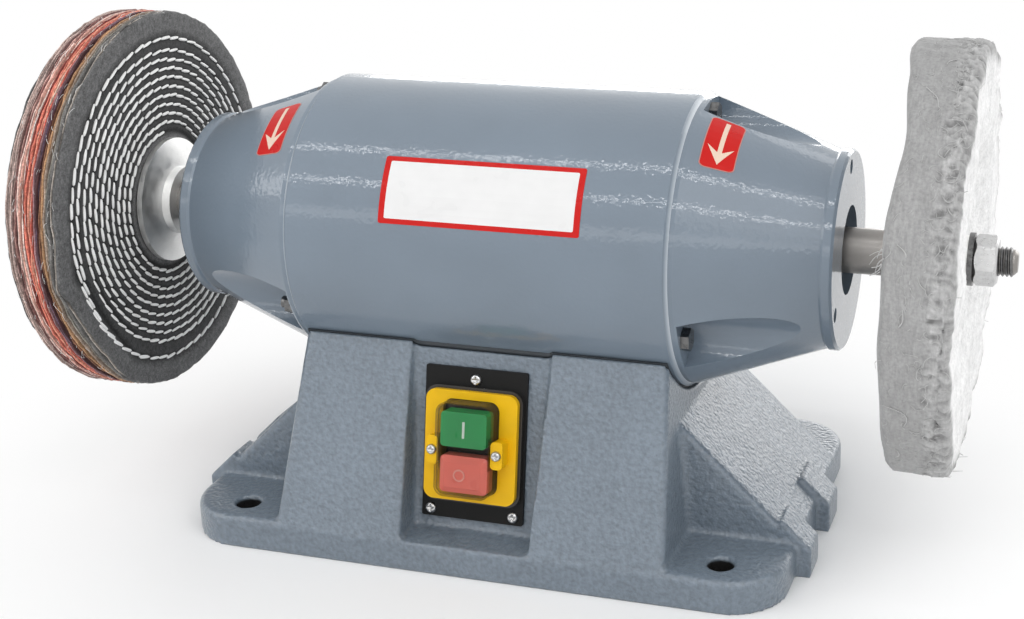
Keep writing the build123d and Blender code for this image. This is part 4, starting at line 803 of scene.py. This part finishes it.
class POLISHER_OT_sewn_wheel(bpy.types.Operator):
    """Build the sewn wheel ply by ply, with its spiral of stitches"""

    bl_idname = "polisher.sewn_wheel"
    bl_label = "Sewn wheel"
    run_out = 4.3 * MM  # step from the last lap of the spiral to the outer ring
    last_turn = math.radians(-62)  # where the spiral reaches that ring
    pinch = 7 * MM  # how much thinner the wheel is between its flanges
    swells = 35 * MM, 51 * MM  # radii between which it comes to its full thickness
    steps = 180  # round the wheel

    def execute(self, context):
        self.look = context.scene.polisher_sewn_wheel
        self.low, self.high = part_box("left_cloth_wheel")
        self.radius = (self.high.z - self.low.z) / 2
        self.laps = (self.look.outer_ring - self.run_out - self.look.inner_ring) / self.look.spiral_pitch
        face = (SEWN_FACE, self.look.face[:])
        plies = [face] + [(thick, linear(tone)) for thick, tone in SEWN_PLIES] + [face]
        whole = sum(thick for thick, _ in plies)
        shape = bmesh.new()
        depth = 0.0
        for index, (thick, tint) in enumerate(plies):
            self.ply(shape, index, len(plies) - 1, depth / whole, (depth + thick) / whole, tint)
            depth += thick
        cloth_look = cloth("sewn_cloth", 0.8 * MM, 0.3 * MM, 2.2 * MM, (2.5, 1, 1), 0.34, 0.1)
        piece = finished("sewn_wheel", shape, "spindle", cloth_look)
        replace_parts(piece, "left_cloth_wheel")
        cotton = thread("stitching", self.look.stitching[:])
        finished("sewn_wheel_stitches", self.stitches(), "spindle", cotton)
        finished("sewn_wheel_frays", self.frays(), "spindle", cotton)
        return {"FINISHED"}

    def thickness(self, radius):
        """Thickness of the wheel at a radius: pinched between the flanges, full further out."""
        return self.high.x - self.low.x - self.pinch * (1 - smooth_step(radius, *self.swells))

    def bent(self, radius, turn):
        """How far the wheel has bent outwards along the spindle."""
        return -self.look.bend * radius / self.radius * max(0.0, math.cos(turn)) ** 2

    def line(self, lap):
        """Radius of the spiral of stitches; its last stretch runs out into the outer ring."""
        spread = smooth_step(lap, self.laps - 0.28, self.laps)
        return self.look.inner_ring + self.look.spiral_pitch * lap + self.run_out * spread

    def from_stitches(self, radius, turn):
        """Distance from the nearest line of stitches."""
        part = (self.last_turn - turn) / (2 * math.pi) + self.laps
        near = math.floor((radius - self.look.inner_ring) / self.look.spiral_pitch - part % 1) + part % 1
        laps = [min(self.laps, max(0.0, near + k)) for k in (-1, 0, 1, 2)]
        return min(abs(radius - self.look.outer_ring), *(abs(radius - self.line(lap)) for lap in laps))

    def ply(self, shape, index, last, near, far, tint):
        """One layer of cloth between two shares of the thickness."""
        rim = self.radius - (0.2, 0.7, 0.0, 0.9, 0.4)[index % 5] * MM
        edge = 0.5 * (far - near) * self.thickness(rim)
        coarse = [WHEEL_BORE, 36 * MM, 51 * MM, 0.86 * self.radius, rim - edge]
        fine = [WHEEL_BORE, 33 * MM] + [(34.5 + 0.9 * k) * MM for k in range(59)]
        fine += [91 * MM, 95 * MM, rim - edge]
        front, back = (fine if index == side else coarse for side in (0, last))
        profile = [(self.high.x - near * self.thickness(r), r) for r in front]
        profile.append((self.high.x - (near + far) / 2 * self.thickness(rim), rim))
        profile += [(self.high.x - far * self.thickness(r), r) for r in back[::-1]]
        ring = spun(profile, self.steps)
        layer = ring.verts.layers.float_color.new("cloth_colour")
        for vert in ring.verts:
            x, radius, turn = polar(vert.co)
            share = (self.high.x - x) / self.thickness(radius)
            out = smooth_step(radius, 0.62 * self.radius, self.radius)
            # Painted shade: each ply is darker on its sides near the rim, which draws dark lines between the
            # plies; the wander that follows is the cloth's own uneven tone.
            shade = 0.62 + 0.38 * smooth_step(radius, rim - edge, rim)
            shade *= 1 + 0.32 * wander(turn, 40 + 3 * index, 14)
            if index in (0, last) and abs(share - (near if index == 0 else far)) < 0.01:
                gap = self.from_stitches(radius, turn)
                # Painted shade on the faces: darker in the groove along each line of stitches and all over the
                # stitched zone; the groove is also pressed in below.
                drawn = 1 - smooth_step(gap, 0.0, 2.2 * MM)
                inner, outer = self.look.inner_ring, self.look.outer_ring
                sewn = smooth_step(radius, inner - 3 * MM, inner)
                sewn *= 1 - smooth_step(radius, outer + 0.5 * MM, outer + 2.5 * MM)
                shade = (1 - 0.6 * drawn) * (1 - 0.6 * sewn)
                x += (-0.8 if index == 0 else 0.8) * MM * drawn
            vert[layer] = (*(c * shade for c in tint), 1)
            held = 0.35 if index in (0, last) else 1
            x += self.look.wave * out * wander(turn, 1 + 0.22 * index, 9) * held
            x += self.bent(radius, turn)
            radius += out * MM * (0.4 * wander(turn, 20 + index, 26) + 0.35 * wander(turn, 70 + index, 80))
            radius += self.worn(turn, index) * out
            vert.co = from_polar(x, radius, turn)
        absorb(shape, ring)

    def worn(self, turn, index):
        """How far the plies next to the inner face are cut or torn back at the front."""
        left = max(0.0, 1 - index / 7)
        middle, half = math.radians(-34), math.radians(23)
        flat = 0.0
        if abs(turn - middle) < half:
            flat = 0.75 * (math.cos(half) / math.cos(turn - middle) - 1) * self.radius
        corner = 2.4 * hump(turn, math.radians(-11), 0.06)
        torn = 1.9 * hump(turn, math.radians(3), 0.09) + 1.1 * hump(turn, 0.55, 0.1)
        return left * (flat + (corner - torn) * MM)

    def stitches(self):
        """Dashes of thread along the spiral and the outer ring, on both faces."""
        pick = random.Random(4)
        dash = bmesh.new()
        bmesh.ops.create_uvsphere(dash, u_segments=6, v_segments=6, radius=0.5)
        for vert in dash.verts:
            wide = math.hypot(vert.co.x, vert.co.y)
            if wide > 0.01:
                vert.co.xy *= math.sqrt(wide / 0.5) * 0.5 / wide
        dash = as_mesh(dash)
        shape = bmesh.new()
        for face in (1, -1):
            lap = 0.0
            while lap < self.laps:
                radius = self.line(lap)
                pitch = self.stitch_pitch(radius)
                turn = self.last_turn + (self.laps - lap) * 2 * math.pi
                self.stitch(shape, dash, pick, face, radius, turn, pitch)
                lap += pitch * pick.uniform(0.93, 1.07) / (2 * math.pi * radius)
            pitch = self.stitch_pitch(self.look.outer_ring)
            count = round(2 * math.pi * self.look.outer_ring / pitch)
            for k in range(count):
                turn = 2 * math.pi * (k + 0.1 * pick.uniform(-1, 1)) / count
                self.stitch(shape, dash, pick, face, self.look.outer_ring, turn, pitch)
        bpy.data.meshes.remove(dash)
        return shape

    def stitch_pitch(self, radius):
        """Stitch to stitch along a line; the outer lines are sewn in longer steps."""
        return 4.6 * MM + 0.046 * radius

    def stitch(self, shape, dash, pick, face, radius, turn, pitch):
        """One stitch lying in its groove."""
        radius += 0.3 * MM * pick.uniform(-1, 1)
        x = self.high.x if face > 0 else self.high.x - self.thickness(radius)
        place = from_polar(x - face * 0.22 * MM + self.bent(radius, turn), radius, turn)
        out = outward(turn)
        along = (onward(turn) + (0.11 + 0.06 * pick.uniform(-1, 1)) * out).normalized()
        thick = self.look.thread * pick.uniform(0.85, 1.1)
        reach = pitch * self.look.stitch_share * pick.uniform(0.92, 1.06)
        axes = Matrix((Vector((thick, 0, 0)), out * thick, along * reach)).transposed().to_4x4()
        stamp(shape, dash, (Matrix.Translation(place) @ axes).__matmul__)

    def frays(self):
        """Loose ends of yarn standing off the rim."""
        pick = random.Random(8)

        def lay():
            turn = pick.uniform(-math.pi, math.pi)
            share = pick.uniform(0.03, 0.97)
            radius = self.radius - pick.uniform(0.2, 1.2) * MM
            x = self.high.x - share * self.thickness(radius) + self.bent(radius, turn)
            along = onward(turn) * pick.choice((-1, 1)) + outward(turn) * pick.uniform(-0.15, 0.3)
            along += Vector((pick.uniform(-0.6, 0.6), 0, 0))
            thick = pick.uniform(0.07, 0.16) * MM
            long, bend = pick.uniform(2, 6) * MM, pick.uniform(0, 0.8) * MM
            return long, thick, bend, from_polar(x, radius, turn), along, outward(turn)

        return strewn(cuts=2, count=420, lay=lay)


class POLISHER_OT_cotton_wheel(bpy.types.Operator):
    """Build the loose cotton wheel: soft faces, a fluffed rim and fibres combed over its edge"""

    bl_idname = "polisher.cotton_wheel"
    bl_label = "Cotton wheel"
    steps = 560  # round the wheel

    def execute(self, context):
        self.look = context.scene.polisher_cotton_wheel
        low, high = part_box("right_cotton_wheel")
        self.radius = (high.z - low.z) / 2
        self.hub = SPINDLE_HIGH.x - 45 * MM
        self.hub_width = 15 * MM
        fleece = cloth("loose_cotton", 1.3 * MM, 0.5 * MM, 2.8 * MM, (2.2, 0.4, 0.4), 0.11, 0.12)
        piece = finished("cotton_wheel", self.body(), "spindle", fleece)
        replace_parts(piece, "right_cotton_wheel")
        fluff = thread("cotton_fibre", self.look.fibre[:])
        for name, *how in (
            ("cotton_wisps", 11, self.look.wisps, 4, (0.60, 0.90), 8 * MM, 0.30 * MM, 0.7),
            ("cotton_fuzz", 12, self.look.fuzz, 3, (0.06, 0.94), 6 * MM, 0.20 * MM, 0.2),
            ("cotton_threads", 23, self.look.threads, 6, (0.22, 0.74), 15 * MM, 0.42 * MM, 0.3),
        ):
            finished(name, self.scatter(*how), "spindle", fluff)
        finished("cotton_hub_threads", self.hub_threads(), "spindle", fluff)
        return {"FINISHED"}

    def edges(self, turn):
        """Where the rim starts and ends along the spindle at an angle; it leans and spreads unevenly."""
        lean = 0.9 * math.sin(turn)  # this and the rest in millimetres
        inner = 195.4 + lean + 3.6 * hump(turn, math.radians(49), 0.22)
        inner -= 4.2 * smooth_step(turn, math.radians(68), math.radians(92)) * (turn < math.pi * 0.75)
        outer = 226.6 + lean + 1.2 * lumpy(turn, 3, 4.0)
        outer -= 3.0 * (1 - smooth_step(math.sin(turn), -1.0, -0.6))
        outer += 1.2 * lumpy(turn, 9, 2.0)
        outer += 0.7 * lumpy(turn, 23, 6.0)
        return inner * MM, outer * MM

    def point(self, share, radius, turn):
        """A point of the wheel at a share of its width, a radius and an angle, before it is fluffed."""
        fan = smooth_step(radius, 30 * MM, 66 * MM)
        inner, outer = self.edges(turn)
        sag = 1.6 * MM * lumpy(turn, 4, 30 * radius + 7 * share)
        x = (self.hub + share * self.hub_width) * (1 - fan) + (inner + share * (outer - inner) + sag) * fan
        return from_polar(x, radius, turn)

    def fluffed(self, share, turn):
        """Radius of the rim, with soft lumps and, near the outer edge, crinkles."""
        soft = lumpy(turn, 15, 3.2 * share)
        soft += 0.4 * lumpy(turn, 40, 7 * share + 3)
        crown = 0.8 * MM * (2 * share - 0.9) ** 2
        rise = self.look.fluff * 0.8 * soft + self.look.crinkle * (self.folds(share, turn) - 0.3)
        return self.radius - 1.0 * MM - crown + rise

    def folds(self, share, turn):
        """Crinkles of the outer third of the rim: sharp creases and soft knots, about -1 to 1."""
        limp = smooth_step(share + 0.06 * lumpy(turn, 9, 1.7), 0.56, 0.70)
        creases = 0.55 - 2.2 * abs(lumpy(turn, 30, 7 * share + 11))
        knots = lumpy(turn, 52, 13 * share + 23)
        return limp * (creases + 0.9 * knots)

    def body(self):
        """The whole wheel as one soft ring."""
        face = [WHEEL_BORE] + [r * MM for r in (33, 37, 42, 48, 55, 63, 72, 80, 87, 92, 96)]
        corner = [self.radius - fall * MM for fall in (4.6, 2.4, 0.8)]
        profile = [(0.0, r) for r in face]
        profile += zip((0.0, 0.015, 0.05), corner)
        profile += [(0.09 + 0.034 * k, self.radius) for k in range(26)]
        profile += zip((0.965, 0.99, 1.0), corner[::-1])
        profile += [(1.0, r) for r in face[::-1]]
        ring = spun(profile, self.steps)
        layer = ring.verts.layers.float_color.new("cloth_colour")
        for vert in ring.verts:
            share, radius, turn = polar(vert.co)
            out = smooth_step(radius, 0.90 * self.radius, self.radius - 1 * MM)
            radius += out * (self.fluffed(share, turn) - self.radius)
            limp = smooth_step(share, 0.60, 0.72) * (1 - smooth_step(share, 0.97, 1.0))
            rim = [a + (b - a) * limp for a, b in zip(self.look.rim, self.look.edge)]
            tint = [a + (b - a) * out for a, b in zip(self.look.cotton, rim)]
            # Painted light and shade: the crinkles' ridges are lighter and their furrows darker.
            painted_fold_shade = 1 + 0.34 * out * self.folds(share, turn)
            vert[layer] = (*(c * painted_fold_shade for c in tint), 1)
            vert.co = self.point(share, radius, turn)
        return ring

    def scatter(self, seed, count, cuts, shares, longest, thickest, lean):
        """Curled fibres lying on the rim; lean turns them from round the wheel to along the spindle."""
        pick = random.Random(seed)

        def lay():
            turn = pick.uniform(-math.pi, math.pi)
            share = pick.uniform(*shares)
            place = self.point(share, self.fluffed(share, turn) + pick.uniform(-0.15, 0.2) * MM, turn)
            slant = lean + pick.uniform(-0.7, 0.7)
            around = onward(turn) * pick.choice((-1, 1))
            along = around * math.cos(slant) + Vector((math.sin(slant), 0, 0)) * pick.choice((-1, 1))
            along += outward(turn) * pick.uniform(-0.06, 0.06)
            long = longest * pick.uniform(0.35, 1.0)
            thick = thickest * pick.uniform(0.55, 1.0)
            curl = long * pick.uniform(0.05, 0.28) * pick.choice((-1, 1))
            return long, thick, curl, place, along, along.cross(outward(turn))

        return strewn(cuts, count, lay)

    def hub_threads(self):
        """Loose threads that hang from the rim's inner edge in front of the spindle."""
        pick = random.Random(31)

        def lay():
            turn = pick.uniform(0.24, 0.34)
            place = self.point(pick.uniform(0.0, 0.04), self.radius - pick.uniform(0.5, 3) * MM, turn)
            along = Vector((-pick.uniform(0.2, 1.0), pick.uniform(0, 0.3), -pick.uniform(0.3, 1.0)))
            long = pick.uniform(4, 8) * MM
            curl = long * pick.uniform(-0.1, 0.1)
            return long, pick.uniform(0.2, 0.4) * MM, curl, place, along, Vector((1, 0, 0))

        return strewn(cuts=6, count=7, lay=lay)


class POLISHER_OT_labels(bpy.types.Operator):
    """Lay the bare plate on the housing and the turning arrows on the end bells"""

    bl_idname = "polisher.labels"
    bl_label = "Labels"
    housing_radius, bell_radius = 0.088, 0.065  # turn the width of a border into an angle
    flat_radius = 0.09  # a film is drawn flat as if unrolled from this radius
    ray_radius = 0.16  # outside the motor, from where a film is dropped onto it
    cuts = 24  # strips that a film is bent in
    arrow_outline = (  # shares of a label's width, from its middle, and of its height
        (0, 0.08), (0.38, 0.40), (0.065, 0.29), (0.065, 0.93), (-0.065, 0.93), (-0.065, 0.29), (-0.38, 0.40)
    )

    def execute(self, context):
        look = context.scene.polisher_labels
        red = film("label_red", look.red[:])
        white = film("label_white", look.white[:])
        self.tree = BVHTree.FromObject(NODES["motor_housing"], context.evaluated_depsgraph_get())
        plate = look.plate_left, look.plate_right, look.plate_low, look.plate_high
        self.sheet("bare_plate_border", self.corners(*plate), 0.25, 1.2, red, "red_plastic")
        lip = look.plate_border
        inner = self.corners(*plate, lip, lip / self.housing_radius)
        self.sheet("bare_plate", inner, 0.35, 0.8, white, "pale_plastic")
        cream = film("label_cream", look.cream[:])
        pale = film("label_margin", look.margin[:])
        for side, sign, low in (("left", -1, look.arrow_low_left), ("right", 1, look.arrow_low_right)):
            self.tree = BVHTree.FromObject(NODES[f"{side}_end_bell"], context.evaluated_depsgraph_get())
            x0, x1 = sorted((sign * look.arrow_inner, sign * look.arrow_outer))
            high = low + look.arrow_reach
            outer = self.corners(x0, x1, low, high)
            self.sheet(f"{side}_arrow_margin", outer, 0.15, 3.0, pale, "red_plastic")
            lip = look.arrow_margin
            inner = self.corners(x0, x1, low, high, lip, lip / self.bell_radius)
            self.sheet(f"{side}_arrow_label", inner, 0.22, 2.6, red, "red_plastic")
            middle, wide, tall = (x0 + x1) / 2, x1 - x0, high - low
            arrow = [(middle + across * wide, low + up * tall) for across, up in self.arrow_outline]
            self.sheet(f"{side}_arrow", arrow, 0.3, 0.0, cream, "pale_plastic")
        return {"FINISHED"}

    def corners(self, x0, x1, low, high, lip=0.0, turn=0.0):
        """Corners of a label, drawn in along the spindle and round it."""
        x0, x1, low, high = x0 + lip, x1 - lip, low + turn, high - turn
        return (x0, low), (x1, low), (x1, high), (x0, high)

    def sheet(self, name, corners, lift, rounding, material, slot):
        """A slim film over a motor part; corners are given along the spindle and round it."""
        shape = bmesh.new()
        shape.faces.new([shape.verts.new((x, turn * self.flat_radius, 0)) for x, turn in corners])
        if rounding:
            bmesh.ops.bevel(
                shape,
                geom=shape.verts[:],
                offset=rounding * MM,
                segments=5,
                profile=0.5,
                affect="VERTICES",
                material=-1,
            )
        low = min(v.co.y for v in shape.verts)
        high = max(v.co.y for v in shape.verts)
        for cut in range(1, self.cuts):
            bmesh.ops.bisect_plane(
                shape,
                geom=shape.verts[:] + shape.edges[:] + shape.faces[:],
                dist=0.001 * MM,
                plane_co=(0, low + cut * (high - low) / self.cuts, 0),
                plane_no=(0, 1, 0),
            )
        for vert in shape.verts:
            turn = vert.co.y / self.flat_radius
            start = from_polar(vert.co.x, self.ray_radius, turn)
            inward = (Vector((vert.co.x, 0, SPINDLE_Z)) - start).normalized()
            place, normal, _, _ = self.tree.ray_cast(start, inward)
            if place is None:
                raise RuntimeError(f"{name} reaches past the part that carries it")
            vert.co = place + normal * lift * MM
        bmesh.ops.recalc_face_normals(shape, faces=shape.faces)
        middles = ((face.normal, face.calc_center_median() - SPINDLE_POINT) for face in shape.faces)
        if sum(normal.dot(middle) for normal, middle in middles) < 0:
            bmesh.ops.reverse_faces(shape, faces=shape.faces)
        bmesh.ops.solidify(shape, geom=shape.faces[:], thickness=(lift + 0.1) * MM)
        finished(name, shape, "root", material, smooth=False)


# Stage


def background_rays(tree):
    """One on the rays that see the background straight, in gloss or through glass."""
    path = tree.nodes.new("ShaderNodeLightPath")
    seen = path.outputs["Is Camera Ray"]
    for other in ("Is Glossy Ray", "Is Transmission Ray"):
        either = tree.nodes.new("ShaderNodeMath")
        either.operation = "MAXIMUM"
        tree.links.new(seen, either.inputs[0])
        tree.links.new(path.outputs[other], either.inputs[1])
        seen = either.outputs[0]
    return seen


class POLISHER_OT_stage(bpy.types.Operator):
    """Set the floor, the lights and the camera"""

    bl_idname = "polisher.stage"
    bl_label = "Stage"
    floor_radius = 4.0
    fade_starts, fade_ends = 0.17, 0.36  # from the middle of the floor
    aim_height = 0.13  # of the lamps
    long_lamp = 2.0  # wider lamps look straight across the spindle

    def execute(self, context):
        stage = context.scene.polisher_stage
        context.scene.view_settings.view_transform = "Standard"
        self.floor(stage)
        self.world(context, stage)
        for name, setting, part, *where in LAMPS:
            self.lamp(name, part * getattr(stage, setting), *where)
        self.camera(context, stage)
        return {"FINISHED"}

    def floor(self, stage):
        """A pale disc that fades to white away from the machine."""
        shape = bmesh.new()
        bmesh.ops.create_circle(shape, cap_ends=True, segments=96, radius=self.floor_radius)
        mesh = as_mesh(shape, "Floor")
        finish = Finish("floor", Base_Color=(*stage.floor, 1), Roughness=0.9, Specular_IOR_Level=0.1)
        tree = finish.material.node_tree
        away = finish.node("VectorMath", finish.place(), operation="LENGTH", output=1)
        fade = self.fade_starts, self.fade_ends, 0.0, 1.0
        far = finish.node("MapRange", away, *fade, interpolation_type="SMOOTHSTEP")
        seen = background_rays(tree)
        white = finish.node("Emission", (1, 1, 1, 1), 1.0)
        part = finish.math("MULTIPLY", far, seen)
        mixed = finish.node("MixShader", part, finish.shader.outputs[0], white)
        tree.links.new(mixed, finish.nodes["Material Output"].inputs["Surface"])
        mesh.materials.append(finish.material)
        floor = linked("Floor", mesh)

    def world(self, context, stage):
        """White where it is seen, an even light elsewhere."""
        world = bpy.data.worlds.new("Studio")
        world.use_nodes = True
        tree = world.node_tree
        strength = tree.nodes.new("ShaderNodeMix")
        tree.links.new(background_rays(tree), strength.inputs["Factor"])
        strength.inputs["A"].default_value = stage.world
        strength.inputs["B"].default_value = 1.0
        backdrop = tree.nodes["Background"]
        backdrop.inputs["Color"].default_value = (1, 1, 1, 1)
        tree.links.new(strength.outputs[0], backdrop.inputs["Strength"])
        context.scene.world = world

    def lamp(self, name, watts, place, wide, tall):
        """An area lamp aimed at the machine."""
        light = bpy.data.lights.new(name, "AREA")
        light.shape = "RECTANGLE"
        light.energy = watts
        light.size = wide
        light.size_y = tall
        lamp = linked(name, light)
        lamp.location = place
        aim = Vector((place[0] if wide > self.long_lamp else 0, 0, self.aim_height)) - Vector(place)
        lamp.rotation_euler = aim.to_track_quat("-Z", "Y").to_euler()

    def camera(self, context, stage):
        """The camera at the photograph's viewing angle."""
        turn, rise, roll = stage.camera_turn, stage.camera_rise, stage.camera_roll
        back = Vector((math.sin(turn) * math.cos(rise), -math.cos(turn) * math.cos(rise), math.sin(rise)))
        right = Vector((math.cos(turn), math.sin(turn), 0))
        up = back.cross(right)
        leaned = math.cos(roll) * right + math.sin(roll) * up
        upward = math.cos(roll) * up - math.sin(roll) * right
        lens = bpy.data.cameras.new("Camera")
        lens.sensor_width = 36
        lens.lens = stage.focal_pixels * lens.sensor_width / PICTURE_WIDE
        lens.shift_x = (PICTURE_WIDE / 2 - stage.axis_across) / PICTURE_WIDE
        lens.shift_y = (stage.axis_down - PICTURE_TALL / 2) / PICTURE_WIDE
        camera = linked("Camera", lens)
        placed = Matrix((leaned, upward, back)).transposed().to_4x4()
        placed.translation = stage.camera_place
        camera.matrix_world = placed
        context.scene.camera = camera


# Add-on


class POLISHER_PT_sidebar(bpy.types.Panel):
    """Lists the pieces in the sidebar"""

    bl_label = "Polisher"
    bl_idname = "POLISHER_PT_sidebar"
    bl_space_type = "VIEW_3D"
    bl_region_type = "UI"
    bl_category = "Polisher"

    def draw(self, context):
        for settings, operators in PANEL_ROWS:
            box = self.layout.box()
            group = getattr(context.scene, settings)
            for name in group.__annotations__:
                box.prop(group, name)
            for operator in operators:
                box.operator(operator.bl_idname)


SETTINGS = {
    "polisher_paint": PaintSettings,
    "polisher_sewn_wheel": SewnWheelSettings,
    "polisher_cotton_wheel": CottonWheelSettings,
    "polisher_labels": LabelSettings,
    "polisher_switch": SwitchSettings,
    "polisher_stage": StageSettings,
}
PANEL_ROWS = (
    ("polisher_paint", (POLISHER_OT_casting, POLISHER_OT_motor, POLISHER_OT_metalwork)),
    ("polisher_switch", (POLISHER_OT_switch,)),
    ("polisher_sewn_wheel", (POLISHER_OT_sewn_wheel,)),
    ("polisher_cotton_wheel", (POLISHER_OT_cotton_wheel,)),
    ("polisher_labels", (POLISHER_OT_labels,)),
    ("polisher_stage", (POLISHER_OT_stage,)),
)
OPERATORS = [operator for _, operators in PANEL_ROWS for operator in operators]


def register():
    """Adds the settings, operators and panel."""
    for kind in (*SETTINGS.values(), *OPERATORS, POLISHER_PT_sidebar):
        bpy.utils.register_class(kind)
    for name, group in SETTINGS.items():
        setattr(bpy.types.Scene, name, PointerProperty(type=group))


def unregister():
    """Takes them away again."""
    for name in SETTINGS:
        delattr(bpy.types.Scene, name)
    for kind in (POLISHER_PT_sidebar, *reversed(OPERATORS), *SETTINGS.values()):
        bpy.utils.unregister_class(kind)


def main():
    """Builds every piece in order."""
    register()
    bpy.ops.polisher.casting()
    bpy.ops.polisher.motor()
    bpy.ops.polisher.metalwork()
    bpy.ops.polisher.switch()
    bpy.ops.polisher.sewn_wheel()
    bpy.ops.polisher.cotton_wheel()
    bpy.ops.polisher.labels()
    bpy.ops.polisher.stage()


if __name__ == "__main__":
    main()
